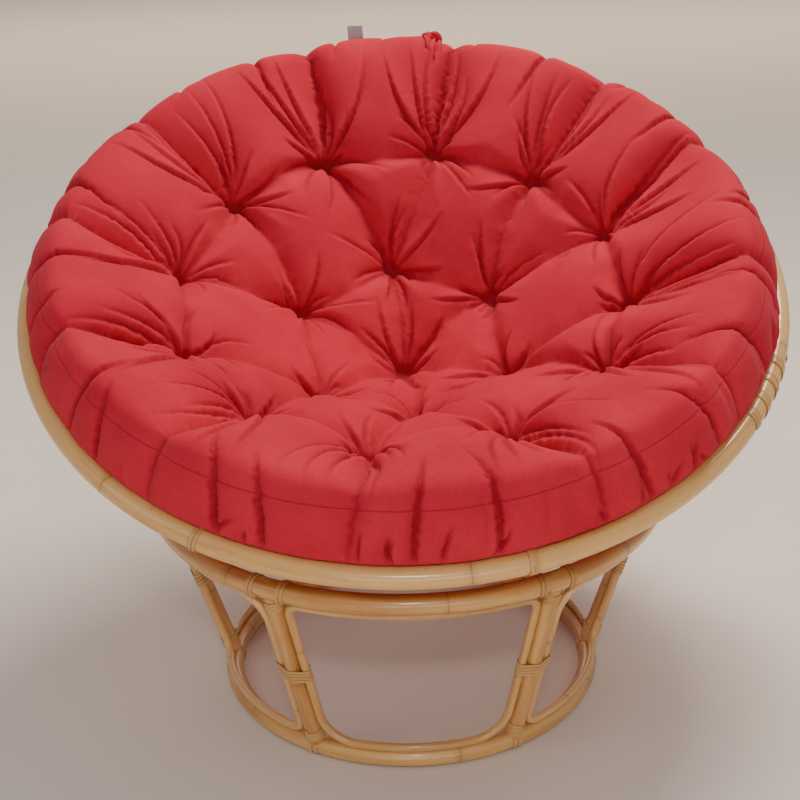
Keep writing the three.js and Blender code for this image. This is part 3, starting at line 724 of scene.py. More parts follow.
def build_base():
    pole("bottom_hoop", [circle_run(bottom_place(), 360)], BOTTOM_POLE, VARNISHED, "base",
         ["base_bottom_hoop"], closed=True, sides=28)
    pole("top_hoop", [circle_run(top_place(), 420)], TOP_POLE, VARNISHED, "base",
         ["base_top_hoop"], closed=True, sides=28)
    for i in range(POST_COUNT):
        number = i + 1
        angle = BAY / 2 + i * BAY
        foot, axis, _, _ = post_frame(angle)
        run = [foot + axis * way for way in even_steps(POST_INSET, SLANT_LENGTH - POST_INSET, 90)]
        pole(f"post_{number}", [run], POST_POLE, VARNISHED, "base",
             [f"base_post_{number}"], rings=0.21)
        pole(f"bay_loop_{number}", [bay_run(angle, bay_corners(i))], THIN_POLE, THIN, "base",
             [f"bay_cane_{number}"], closed=True, sides=16, rings=0.3, swell=0.03,
             ring_width=3 * MM)
        build_lashings(number, angle)


LASHING_LIFT = 0.15 * MM
HEAD_CLEAR = POST_POLE + 1.2 * MM + STRIP_WIDTH / 2
NECK_DROP = 9.5 * MM
ANKLE_RISE = 14 * MM
FOOT_LIFT = 0.1 * MM
FOOT_SHIFT = 3.2 * MM


def build_lashings(number, angle):
    """The windings on one post: round its middle, its head with the top hoop, and its foot."""
    middle = bundle_winding(angle, 4.4, STRIP_PITCH, LASHING_LIFT, start=0.1)
    strips(f"middle_lashing_{number}", [middle], "base", [f"middle_binding_{number}"])

    left_turns, right_turns, neck_turns, ankle_turns = 2.4, 2.2, 3.6, 3.8
    top = round_hoop(top_place(), angle, TOP_HOOP_RADIUS, TOP_POLE + LASHING_LIFT)
    left = helix(left_turns, lambda turn: -HEAD_CLEAR - (left_turns - turn) * STRIP_PITCH, top, start=0.55)
    right = helix(right_turns, lambda turn: HEAD_CLEAR + turn * STRIP_PITCH, top, start=0.6)
    post = round_post(angle, POST_POLE + LASHING_LIFT)
    neck_middle = SLANT_LENGTH - TOP_POLE - NECK_DROP
    neck = helix(neck_turns, evenly(neck_turns, STRIP_PITCH * 0.92, neck_middle), post, start=0.3)
    strips(f"head_lashing_{number}", [left, right, neck], "base", [f"head_binding_{number}"])

    ankle_middle = BOTTOM_POLE + ANKLE_RISE
    ankle = helix(ankle_turns, evenly(ankle_turns, STRIP_PITCH * 0.94, ankle_middle), post, start=0.2)
    under = [foot_loop(angle, side * FOOT_SHIFT) for side in (-1, 1)]
    strips(f"foot_lashing_{number}", [ankle, *under], "base", [f"foot_binding_{number}"])


def foot_loop(angle, shift):
    """A strand that comes down the face of a post, passes under the hoop and goes up behind."""
    place = bottom_place()
    start = math.radians(48) - math.atan2(slant.x, slant.y)
    sweep = math.radians(276)
    splay, pinch = 1.3, 0.45
    steps = 48
    run = []
    for i in range(steps + 1):
        aside = shift * (splay - pinch * math.cos((i / steps - 0.5) * math.pi) ** 2)
        turn = start - sweep * i / steps
        run.append(place(angle + aside / BOTTOM_HOOP_RADIUS, turn, BOTTOM_POLE + FOOT_LIFT))
    return run


# The bowl

def bowl_point(angle, polar, radius):
    level = outward(angle) * (radius * math.sin(polar))
    return BOWL_MATRIX @ (level - UP * (radius * math.cos(polar)))


RIB_OVERHANG = 20 * MM
RIB_SHORT = 9 * MM


def build_bowl():
    pole("rim", [circle_run(rim_place(), 600)], RIM_POLE, VARNISHED, "bowl",
         ["bowl_rim"], closed=True, sides=32, rings=0.52)
    start = math.asin(FLOOR_HOOP_RADIUS / HOOP_LINE_RADIUS) - RIB_OVERHANG / RIB_LINE_RADIUS
    stop = math.atan2(RIM_RADIUS, RIM_DROP) - RIB_SHORT / RIB_LINE_RADIUS
    for i in range(RIB_COUNT):
        angle = (i + 0.5) * FULL_TURN / RIB_COUNT
        run = [bowl_point(angle, polar, RIB_LINE_RADIUS) for polar in even_steps(start, stop, 120)]
        pole(f"rib_{i + 1}", [run], RIB_POLE, THIN, "bowl", [f"bowl_rib_{i + 1}"],
             sides=20, rings=0.24, ring_width=4 * MM)
    for name, radius in (("middle_hoop", MIDDLE_HOOP_RADIUS), ("floor_hoop", FLOOR_HOOP_RADIUS)):
        place = hoop_place(radius, -math.sqrt(HOOP_LINE_RADIUS ** 2 - radius ** 2), BOWL_MATRIX)
        pole(name, [circle_run(place, 240)], RIB_POLE, THIN, "bowl", [f"bowl_{name}"],
             closed=True, sides=20, rings=0.3, ring_width=4 * MM)
    build_rim_bands()


RIM_BAND_LIFT = 0.3 * MM


def rim_winding(angle, turns, pitch, start):
    wound = round_hoop(rim_place(), angle, RIM_RADIUS, RIM_POLE + RIM_BAND_LIFT)
    return helix(turns, evenly(turns, pitch), wound, steps=48, start=start)


TWIN_BAND_ANGLE = math.radians(-29)
FLAT_BAND_ANGLE = math.radians(15.2)
SPLICE_RIB = 2
SPLICE_PITCH = 36 * MM
SPLICE_ANGLE = (SPLICE_RIB - 0.5) * FULL_TURN / RIB_COUNT - 1.1 * SPLICE_PITCH / RIM_RADIUS
BAND_FACE = RIM_POLE + RIM_BAND_LIFT + STRIP_THICKNESS
METAL_TILT = math.radians(18)


def build_rim_bands():
    twin = rim_winding(TWIN_BAND_ANGLE, turns=2.2, pitch=5.8 * MM, start=0.4)
    flat = rim_winding(FLAT_BAND_ANGLE, turns=1.15, pitch=6 * MM, start=0.4)
    splice = rim_winding(SPLICE_ANGLE, turns=4.0, pitch=SPLICE_PITCH, start=0.0)
    strips("twin_band", [twin], "bowl", ["rim_twin_band"])
    strips("flat_band", [flat], "bowl", ["rim_flat_band"], width=12 * MM)
    strips("splice_wrap", [splice], "bowl", ["rim_splice_wrap"], width=14 * MM)
    build_staple()
    build_nail()


def build_staple():
    """A bent wire that holds the flat band, its crown laid round the rim and its legs driven in."""
    reach, leg, wire_radius = 9 * MM, 2.2 * MM, 0.5 * MM
    crown = 0.86
    place = rim_place()
    run = []
    for share in np.linspace(0, 1, 25):
        off = abs(2 * share - 1)
        sunk = leg * max(0, (off - crown) / (1 - crown)) ** 2
        turn = METAL_TILT + (share - 0.5) * reach / BAND_FACE
        run.append(place(FLAT_BAND_ANGLE, turn, BAND_FACE + wire_radius - sunk)[0])
    piece = made("band_staple", path_mesh("band_staple", [run]), BENT_CANE, Pole_Radius=wire_radius,
                 Sides=12, Ring_Swell=0.0, Waviness=0.0, Material=STEEL)
    dress(piece, "bowl", ["rim_band_staple"])


# Radius and height of each ring of a nail's head, and the height of its tip, in millimetres
NAIL_PROFILE = ((2.5, 0), (2.5, 0.35), (2.3, 0.62), (1.8, 0.85), (1.0, 1.02), (0.4, 1.06))
NAIL_TIP = 1.07


def build_nail():
    """The domed head of the nail in the joint of the rim."""
    point, away = rim_place()(SPLICE_ANGLE, METAL_TILT, BAND_FACE)
    side = away.orthogonal().normalized()
    across = away.cross(side)
    sides = 28
    points, faces = [point], []
    for radius, height in NAIL_PROFILE:
        for i in range(sides):
            turn = i / sides * FULL_TURN
            out = side * math.cos(turn) + across * math.sin(turn)
            points.append(point + out * (radius * MM) + away * (height * MM))
    tip = len(points)
    points.append(point + away * (NAIL_TIP * MM))
    last = tip - sides
    for i in range(sides):
        j = (i + 1) % sides
        faces.append((0, 1 + j, 1 + i))
        for low in range(1, last, sides):
            faces.append((low + i, low + j, low + sides + j, low + sides + i))
        faces.append((tip, last + i, last + j))
    mesh = bpy.data.meshes.new("splice_nail")
    mesh.from_pydata([tuple(p) for p in points], [], faces)
    mesh.shade_smooth()
    mesh.materials.append(STEEL)
    dress(in_scene("splice_nail", mesh), "bowl", ["rim_splice_nail"])


# The cushion

# Its thickness at the middle tuft and at each ring of tufts, the share of the way from the middle
# to the rim at which each ring lies, and the turn of each tuft in degrees
CENTRE_THICKNESS = 137 * MM
TUFT_RINGS = ((166 * MM, 0.3483), (156 * MM, 0.774))
INNER_TUFTS = (5.9, 62.7, 124.9, 185.7, 245.9, 315.2)
OUTER_TUFTS = (23.9, 55.9, 81.8, 109.6, 139.3, 169.8, 201.1, 231.8, 264.3, 293.4, 321.6, 351.0)

# How far the puffs rise over the tufts, how wide each tuft dips and holds the cover, and its pit
PUFF_RISE = 42 * MM
TUFT_REACH = 70 * MM
TUFT_HOLD = 9 * MM
PIT_WIDTH, PIT_DEPTH, PIT_CALM = 8 * MM, 13 * MM, 7 * MM
BACK_PIT_WIDTH, BACK_PIT_DEPTH = 7 * MM, 5 * MM
DIMPLE_WIDTH, DIMPLE_DEPTH = 28 * MM, 8 * MM

# The section at its edge: how far in from the rim's line and how high over it each place lies
CROWN_INSET, CROWN_HEIGHT = 80 * MM, 101 * MM
SEAM_INSET, SEAM_HEIGHT = 30 * MM, 86 * MM
BULGE_INSET, BULGE_HEIGHT = 8 * MM, 47 * MM
RIM_HUG = 17.5 * MM
HUG_TURNS = (100, 120, 140, 160, 180)
HUG_LEAD = 30 * MM
BACK_SHARE = 0.97

# The net of the cover and its filling
CLOTH_STEP = 5.2 * MM
UNDER_STEP = 15 * MM
NET_JITTER = 0.12
SLACK_SHARE = 0.14
MOTION_CAP = 26 * MM
SETTLE_FRAMES = 20
FILLING = {
    "quality": 5,
    "mass": 0.25,
    "tension_stiffness": 18,
    "compression_stiffness": 18,
    "shear_stiffness": 6,
    "bending_stiffness": 0.08,
    "tension_damping": 8,
    "compression_damping": 8,
    "bending_damping": 0.3,
    "air_damping": 2,
    "vertex_group_mass": "held",
    "pin_stiffness": 15,
    "use_pressure": True,
    "uniform_pressure_force": 4,
    "vertex_group_shrink": "slack",
    "shrink_min": 0.0,
    "shrink_max": -SLACK_SHARE,
}

# Creases between tufts, by kind: depths, widths and sharp cuts in millimetres, at even steps along
# the crease, and the most that it bows
CREASES = {
    "from the middle": ((54, 30, 17, 30, 56), (66, 56, 66), (8, 4, 1, 4, 8), 12),
    "round the inner ring": ((56, 28, 14, 28, 56), (66, 52, 66), (8, 4, 1, 4, 8), 12),
    "outwards": ((56, 37, 27, 40, 70), (70, 72, 84), (8, 5, 3, 5, 8), 10),
    "aslant": ((56, 18, 9, 20, 70), (60, 46, 70), (8, 3, 1, 3, 8), 10),
    "round the outer ring": ((70, 37, 22, 37, 70), (80, 66, 80), (8, 5, 2, 5, 8), 10),
    "over the edge": ((70, 69, 58, 38, 20, 12, 8), (84, 106, 112, 84, 50), (8, 8, 8, 7, 5, 7, 4), 14),
}
ASLANT_LIMIT = 235 * MM
PLEAT = ((7, 11, 9, 4, 0), (24, 30, 26, 18), (7, 8, 5, 2, 0))

# Folds that lap over, by kind: depths and widths in millimetres, at even steps along the fold
FOLDS = {
    "at the knot": ((7, 8, 5, 0), (8, 12, 8)),
    "at the edge": ((4, 7, 5, 0), (10, 12)),
    "in a pleat": ((4, 6, 5, 4, 0), (10, 14, 10)),
    "in a fan": ((2, 6.5, 6, 4.5, 2.5, 0), (12, 20, 12)),
    "in a star": ((3, 5.5, 4, 0), (6, 12, 8)),
    "in a gather below": ((2, 4.5, 3.5, 2, 0), (14, 26, 16)),
    "in a star below": ((2, 4, 3, 0), (8, 16, 10)),
}
EDGE_FOLDS, STAR_FOLDS = 46, 10
GATHERS_BELOW, STAR_FOLDS_BELOW = 90, 7
SIDE_GATHERS = 40

LABEL_TURN = -172.8
LABEL_LEAN = 0.55
LABEL_WIDTH, LABEL_HEIGHT = 25 * MM, 21 * MM
KNOT_TURN = 172.6
KNOT_TAIL_STEPS = np.array([66, 50, 34, 18]) * MM

cloth_rng = np.random.default_rng(11)


def smooth_line(points, before, after, steps=40):
    """A Catmull-Rom line through points, with one guide point beyond each end."""
    guide = np.array([before, *points, after])
    line = []
    for a, b, c, d in zip(guide, guide[1:], guide[2:], guide[3:]):
        for t in np.arange(steps) / steps:
            square = (2 * a - 5 * b + 4 * c - d) * t ** 2
            cube = (3 * b - a - 3 * c + d) * t ** 3
            line.append((2 * b + (c - a) * t + square + cube) / 2)
    line.append(guide[-2])
    return line


def tuft_spot(thickness, polar_share):
    """The radius and height of a tuft before the filling pulls it in."""
    reach = BACK_RADIUS - thickness
    polar = polar_share * math.atan2(RIM_RADIUS, RIM_DROP)
    return reach * math.sin(polar), PUFF_RISE - reach * math.cos(polar)


def cushion_outline():
    """The cushion's section from the middle of the dish over the seam and round to its back.

    Gives its points, how far along the section each lies, and where its seam and its side end.
    """
    centre = tuft_spot(CENTRE_THICKNESS, 0)
    inner, outer = (tuft_spot(*ring) for ring in TUFT_RINGS)
    crown = (RIM_RADIUS - CROWN_INSET, CROWN_HEIGHT - RIM_DROP)
    seam = (RIM_RADIUS - SEAM_INSET, SEAM_HEIGHT - RIM_DROP)
    bulge = (RIM_RADIUS - BULGE_INSET, BULGE_HEIGHT - RIM_DROP)
    hug = [(RIM_RADIUS + RIM_HUG * math.cos(math.radians(turn)),
            RIM_HUG * math.sin(math.radians(turn)) - RIM_DROP) for turn in HUG_TURNS]
    top = smooth_line([centre, inner, outer, crown, seam], (-inner[0], inner[1]), bulge)
    side = smooth_line([seam, bulge, hug[0]], crown, (hug[0][0], hug[0][1] - HUG_LEAD))
    edge = math.acos(RIM_DROP / BACK_RADIUS) * BACK_SHARE
    turns = edge * np.linspace(1, 0, 90)
    back = np.stack([BACK_RADIUS * np.sin(turns), -BACK_RADIUS * np.cos(turns)], 1)
    line = np.array([*top, *side[1:], *hug[1:], *back])
    reach = np.concatenate([[0], np.cumsum(np.hypot(*np.diff(line, axis=0).T))])
    return line, reach, reach[len(top) - 1], reach[len(top) + len(side) - 2]


def zip_rings(first, count, shift, next_first, next_count, next_shift):
    """Triangles between two rings of points, walking round both together."""
    faces = []
    i = j = 0
    while i < count or j < next_count:
        here, there = first + i % count, next_first + j % next_count
        if j >= next_count or (i < count and (i + 1 + shift) / count < (j + 1 + next_shift) / next_count):
            faces.append((here, there, first + (i + 1) % count))
            i += 1
        else:
            faces.append((here, there, next_first + (j + 1) % next_count))
            j += 1
    return faces


def ring_net(line, reach, seam_at, side_end):
    """Points in even rings over the whole outline: reach and angle of each, and the faces."""
    top = np.linspace(0, seam_at, round(seam_at / CLOTH_STEP))
    side = np.linspace(seam_at, side_end, round((side_end - seam_at) / CLOTH_STEP))
    under = np.linspace(side_end, reach[-1], round((reach[-1] - side_end) / UNDER_STEP))
    levels = [*top[1:], *side[1:], *under[1:-1]]
    reaches, angles, faces, rings = [0.0], [0.0], [], []
    for level in levels:
        step = CLOTH_STEP if level <= side_end else UNDER_STEP
        radius = np.interp(level, reach, line[:, 0])
        count = max(6, round(FULL_TURN * radius / step))
        shift = cloth_rng.uniform(0, 1)
        rings.append((len(reaches), count, shift))
        jitter = cloth_rng.uniform(-NET_JITTER, NET_JITTER, count)
        angles += list((np.arange(count) + shift + jitter) / count * FULL_TURN)
        reaches += [level] * count
    first, count, _ = rings[0]
    faces += [(0, first + i, first + (i + 1) % count) for i in range(count)]
    for here, there in zip(rings, rings[1:]):
        faces += zip_rings(*here, *there)
    first, count, _ = rings[-1]
    bottom = len(reaches)
    faces += [(bottom, first + (i + 1) % count, first + i) for i in range(count)]
    return np.array([*reaches, reach[-1]]), np.array([*angles, 0.0]), faces


def flat_spot(reach, degrees):
    """A place on the flat cover, which is the section's length laid out from the middle."""
    angle = math.radians(degrees)
    return np.array([reach * math.sin(angle), -reach * math.cos(angle)])


# How far beyond its width a line is felt, how wide its sharp bottom is, and where the folds of the
# top die out before the side ends and those of the underside begin past it
LINE_MARGIN = 12 * MM
CREASE_PINCH, PLEAT_PINCH = 6 * MM, 4.5 * MM
TOP_FADE = 10 * MM
BELOW_START, BELOW_FADE = 20 * MM, 30 * MM


class Line:
    """A slightly bowed line between two places of the flat cover, its measures given in millimetres."""

    def __init__(self, start, stop, bow, depths, widths, cuts=(0, 0)):
        self.start, self.stop, self.bow = start, stop, bow
        self.depths, self.widths, self.cuts = (np.array(row) * MM for row in (depths, widths, cuts))

    def near(self, spots):
        """For the spots beside the line: which they are, how far along, how far aside and how far off."""
        run = self.stop - self.start
        length = np.hypot(*run)
        middle = (self.start + self.stop) / 2
        reach = length / 2 + abs(self.bow) + self.widths.max() + LINE_MARGIN
        which = np.flatnonzero(np.abs(spots - middle).max(1) < reach)
        offset = spots[which] - self.start
        share = offset @ run / length ** 2
        inside = np.clip(share, 0, 1)
        sideways = np.array([-run[1], run[0]]) / length
        aside = offset @ sideways - self.bow * np.sin(math.pi * inside)
        past = (share - inside) * length
        return which, inside, aside, np.hypot(aside, past)

    def depth(self, share):
        return along_row(self.depths, share)

    def width(self, share):
        return along_row(self.widths, share)

    def cut(self, share):
        return along_row(self.cuts, share)


def along_row(row, share):
    return np.interp(share, np.linspace(0, 1, len(row)), row)


def fold(start, stop, bow, kind):
    return Line(start, stop, bow, *FOLDS[kind])


def bell(away, width):
    return np.exp(-(away / width) ** 2)


def distance(spots, spot):
    return np.hypot(*(spots - spot).T)


def puffed(line, spots):
    """A crease between round puffs: how far it pulls each spot in, and how firmly it holds it."""
    lean_share, grip_reach, blunt = 0.3, 10 * MM, 2.5 * MM
    pull, hold = np.zeros(len(spots)), np.zeros(len(spots))
    which, share, aside, off = line.near(spots)
    lean = 1 + lean_share * np.sign(line.bow) * np.tanh(aside / grip_reach)
    off = np.hypot(off * lean, blunt)
    slope = 1 - np.clip(off / line.width(share), 0, 1)
    pull[which] = line.depth(share) * (1 - np.sqrt(1 - slope ** 2))
    hold[which] = line.depth(share) * bell(off, grip_reach)
    return pull, hold


def pinched(line, spots, width):
    """The sharp bottom of a crease: how far it pulls each spot in, and how deep in the gap it lies."""
    full_cut, gap_reach = 7 * MM, 3 * MM
    pull, gap = np.zeros(len(spots)), np.zeros(len(spots))
    which, share, _, off = line.near(spots)
    cut = line.cut(share)
    pull[which] = cut * np.exp(-off / width)
    gap[which] = np.clip(cut / full_cut, 0, 1) * bell(off, gap_reach)
    return pull, gap


def lapped(line, spots):
    """A fold that laps over: the cloth stands up on one side of the line and dips on the other."""
    lap, step_reach, cut_reach, full_depth = 2.5 * MM, 2.4 * MM, 2.6 * MM, 6 * MM
    pull, gap = np.zeros(len(spots)), np.zeros(len(spots))
    which, share, aside, off = line.near(spots)
    aside = aside * np.sign(line.bow)
    beside = np.sqrt(np.maximum(off ** 2 + lap ** 2 - 2 * aside * lap, 0))
    depth = line.depth(share)
    cut = bell(beside, cut_reach)
    step = np.tanh(aside / step_reach) * np.exp(-off / line.width(share))
    pull[which] = depth * (0.7 * step + 0.6 * cut)
    gap[which] = np.clip(depth / full_depth, 0, 1) * cut
    return pull, gap


class Tufting:
    """All that draws the cover in: tufts, the creases between them, pleats of the edge and fine folds."""

    def __init__(self, seam_at, side_end, inner_at, outer_at):
        self.seam_at, self.side_end = seam_at, side_end
        self.creases, self.pleats, self.folds = [], [], []
        centre = np.zeros(2)
        inner = [flat_spot(inner_at, turn) for turn in INNER_TUFTS]
        outer = [flat_spot(outer_at, turn) for turn in OUTER_TUFTS]
        self.tufts = [centre, *inner, *outer]
        for spot, beyond in zip(inner, inner[1:] + inner[:1]):
            self.crease(centre, spot, "from the middle")
            self.crease(spot, beyond, "round the inner ring")
        next_turns = OUTER_TUFTS[1:] + OUTER_TUFTS[:1]
        for spot, beyond, turn, next_turn in zip(outer, outer[1:] + outer[:1], OUTER_TUFTS, next_turns):
            near = sorted(inner, key=lambda other: distance(other, spot))
            self.crease(near[0], spot, "outwards")
            if distance(near[1], spot) < ASLANT_LIMIT:
                self.crease(near[1], spot, "aslant")
            self.crease(spot, beyond, "round the outer ring")
            self.crease(spot, flat_spot(side_end, turn + cloth_rng.uniform(-4, 4)), "over the edge")
            self.fan(spot, turn)
            self.edge_pleats(turn, (next_turn - turn) % 360)
        for spot in self.tufts:
            self.star(spot)
        self.knot_folds()
        self.edge_folds()

    def bow(self, size):
        return cloth_rng.uniform(-size, size) * MM

    def crease(self, start, stop, kind):
        depths, widths, cuts, bow = CREASES[kind]
        self.creases.append(Line(start, stop, self.bow(bow), depths, widths, cuts))

    def knot_folds(self):
        """Folds that the knot draws in the cloth before it, each with its swing and its length."""
        for swing, length in ((-2.2, 52), (-0.4, 84), (1.6, 60)):
            high = flat_spot(self.seam_at + 4 * MM, KNOT_TURN + 0.3 * swing)
            low = flat_spot(self.seam_at - length * MM, KNOT_TURN + swing)
            self.folds.append(fold(high, low, 5 * MM, "at the knot"))

    def edge_folds(self):
        """Short folds that rise from the rim at random."""
        for _ in range(EDGE_FOLDS):
            turn = cloth_rng.uniform(0, 360)
            height = cloth_rng.uniform(20, 60) * MM
            low = flat_spot(self.side_end, turn)
            high = flat_spot(self.side_end - height, turn + cloth_rng.uniform(-3, 3))
            self.folds.append(fold(low, high, self.bow(5), "at the edge"))

    def edge_pleats(self, turn, gap):
        """Pleats that run from the rim over the seam and die out on the top of a puff."""
        for share in (cloth_rng.uniform(0.26, 0.4), cloth_rng.uniform(0.6, 0.76)):
            low = flat_spot(self.side_end, turn + gap * share)
            length = cloth_rng.uniform(110, 230) * MM
            high = flat_spot(self.side_end - length, turn + gap * share + cloth_rng.uniform(-7, 7))
            bow = self.bow(14)
            self.pleats.append(Line(low, high, bow, *PLEAT))
            self.folds.append(fold(low, high, bow, "in a pleat"))

    def fan(self, spot, turn):
        """Folds that spread from an outer tuft over the puffs beside its long crease."""
        for side in (-1, 1):
            for swing in (cloth_rng.uniform(6, 12), cloth_rng.uniform(16, 27), cloth_rng.uniform(32, 50)):
                start = spot + flat_spot(cloth_rng.uniform(6, 34) * MM, turn + side * swing)
                length = cloth_rng.uniform(100, 215) * MM
                stop = start + flat_spot(length, turn + side * swing * 0.8)
                bow = side * cloth_rng.uniform(4, 16) * MM
                self.folds.append(fold(start, stop, bow, "in a fan"))

    def star(self, spot):
        """Short folds all round a tuft."""
        swing = cloth_rng.uniform(0, 360)
        for _ in range(STAR_FOLDS):
            swing += 360 // STAR_FOLDS * cloth_rng.uniform(0.6, 1.4)
            length = cloth_rng.uniform(35, 125) * MM
            start = spot + flat_spot(6 * MM, swing)
            stop = spot + flat_spot(length, swing + cloth_rng.uniform(-15, 15))
            self.folds.append(fold(start, stop, self.bow(9), "in a star"))

    def fade(self, reaches):
        return np.clip((self.side_end - reaches) / TOP_FADE, 0, 1)

    def drop(self, spots, reaches):
        """How deep each point lies under the crown before the filling, and how firmly it is held."""
        deep, fine, grip = np.zeros((3, len(spots)))
        for line in self.creases:
            pull, hold = puffed(line, spots)
            deep, grip = np.maximum(deep, pull), np.maximum(grip, hold)
        for line in self.pleats:
            pull, hold = puffed(line, spots)
            fine, grip = np.maximum(fine, pull), np.maximum(grip, hold)
        for spot in self.tufts:
            dip = np.clip(1 - distance(spots, spot) / TUFT_REACH, 0, 1) ** 1.8
            deep = np.maximum(deep, PUFF_RISE * dip)
        return (deep + fine) * self.fade(reaches), grip * self.fade(reaches)

    def detail(self, spots, reaches):
        """The sharp folds, pinches and tuft pits drawn on the filled cover, and how shut in each spot is,
        which sets the painted shade in its gaps.
        """
        pull, shut = np.zeros(len(spots)), np.zeros(len(spots))
        for lines, width in ((self.creases, CREASE_PINCH), (self.pleats, PLEAT_PINCH)):
            for line in lines:
                cut, gap = pinched(line, spots, width)
                pull, shut = np.maximum(pull, cut), np.maximum(shut, gap)
        for line in self.folds:
            lap, gap = lapped(line, spots)
            pull, shut = pull + lap, np.maximum(shut, gap)
        for spot in self.tufts:
            away = distance(spots, spot)
            pit = bell(away, PIT_WIDTH)
            pull = pull * np.clip(away / PIT_CALM, 0.3, 1) + PIT_DEPTH * pit
            shut = np.maximum(shut, pit)
        fade = self.fade(reaches)
        return pull * fade, shut * fade


def underside(points, cover, reaches, side_end):
    """The gathers, the tufts' dimples and the folds round them, on the side that lies in the bowl."""
    fade = np.clip((reaches - side_end - BELOW_START) / BELOW_FADE, 0, 1)
    shown = fade > 0
    spots, cover = points[shown, :2], cover[shown]
    pull, shut = np.zeros((2, len(spots)))

    def add_fold(line, where):
        nonlocal pull, shut
        lap, gap = lapped(line, where)
        pull, shut = pull + lap, np.maximum(shut, 0.6 * gap)

    for _ in range(GATHERS_BELOW):
        turn = cloth_rng.uniform(0, 360)
        edge = flat_spot(side_end + 16 * MM, turn)
        stop = flat_spot(side_end + cloth_rng.uniform(70, 260) * MM, turn + cloth_rng.uniform(-6, 6))
        bow = cloth_rng.uniform(-14, 14) * MM
        add_fold(fold(edge, stop, bow, "in a gather below"), cover)
    tufts = [np.zeros(2)]
    for ring, turns in zip(TUFT_RINGS, (INNER_TUFTS, OUTER_TUFTS)):
        tufts += [flat_spot(tuft_spot(*ring)[0], turn) for turn in turns]
    for tuft in tufts:
        swing = cloth_rng.uniform(0, 360)
        for _ in range(STAR_FOLDS_BELOW):
            swing += 360 // STAR_FOLDS_BELOW * cloth_rng.uniform(0.6, 1.4)
            stop = tuft + flat_spot(cloth_rng.uniform(45, 120) * MM, swing)
            bow = cloth_rng.uniform(-9, 9) * MM
            add_fold(fold(tuft, stop, bow, "in a star below"), spots)
        away = distance(spots, tuft)
        pit = bell(away, BACK_PIT_WIDTH)
        pull = pull + DIMPLE_DEPTH * bell(away, DIMPLE_WIDTH) + BACK_PIT_DEPTH * pit
        shut = np.maximum(shut, pit)
    # The pull also sets the painted shading, and the shut the painted shade in the underside's gaps
    both = np.zeros((2, len(points)))
    both[:, shown] = np.maximum((pull, shut), 0) * fade[shown]
    return both


def side_gathers(reaches, angles, seam_at, side_end):
    """Upright pleats of the boxed edge, which fade over the seam."""
    gathers = np.zeros(len(reaches))
    height = np.clip((reaches - seam_at) / (side_end - seam_at), -0.5, 1)
    fade = np.where(height < 0, np.clip(1 + height * 2, 0, 1) * 0.6, 1 - 0.5 * height)
    for _ in range(SIDE_GATHERS):
        at = cloth_rng.uniform(0, FULL_TURN)
        slope = cloth_rng.uniform(-1, 1) * 14 * MM / RIM_RADIUS
        off = (angles - at - slope * height + math.pi) % FULL_TURN - math.pi
        width = cloth_rng.uniform(5, 16) * MM
        depth = cloth_rng.uniform(2, 7) * MM
        gathers += depth * np.exp(-np.abs(off) * RIM_RADIUS / width) * fade
    return gathers * (reaches < side_end)


def relaxed(points, faces, amount, times=2):
    """Moves points part of the way to the middle of their neighbours, each by its own amount."""
    faces = np.asarray(faces)
    for _ in range(times):
        total = np.zeros_like(points)
        count = np.zeros(len(points))
        for a, b in ((0, 1), (1, 2), (2, 0), (1, 0), (2, 1), (0, 2)):
            np.add.at(total, faces[:, a], points[faces[:, b]])
            np.add.at(count, faces[:, a], 1)
        points = points + (total / count[:, None] - points) * amount[:, None]
    return points


def loop_subdivided(points, faces, layers):
    """Each triangle becomes four, and the points move to Loop's smooth surface."""
    faces = np.asarray(faces)
    edges = np.sort(np.concatenate([faces[:, [0, 1]], faces[:, [1, 2]], faces[:, [2, 0]]]), axis=1)
    edges, which = np.unique(edges, axis=0, return_inverse=True)
    which = which.reshape(3, -1)
    across = faces[:, [2, 0, 1]].T
    opposite = np.zeros((len(edges), points.shape[1]))
    np.add.at(opposite, which.ravel(), points[across.ravel()])
    ends = points[edges].sum(1)
    middles = ends * 3 / 8 + opposite / 8
    ring = np.zeros_like(points)
    count = np.zeros(len(points))
    for a, b in ((0, 1), (1, 0)):
        np.add.at(ring, edges[:, a], points[edges[:, b]])
        np.add.at(count, edges[:, a], 1)
    beta = np.where(count > 3, 3 / (8 * count), 3 / 16)
    moved = points * (1 - count * beta)[:, None] + ring * beta[:, None]
    first = len(points)
    ab, bc, ca = which + first
    a, b, c = faces.T
    finer = np.concatenate([np.stack(t, 1) for t in ((a, ab, ca), (b, bc, ab), (c, ca, bc), (ab, bc, ca))])
    kept = [np.concatenate([layer, layer[edges].mean(1)]) for layer in layers]
    return np.concatenate([moved, middles]), finer, kept


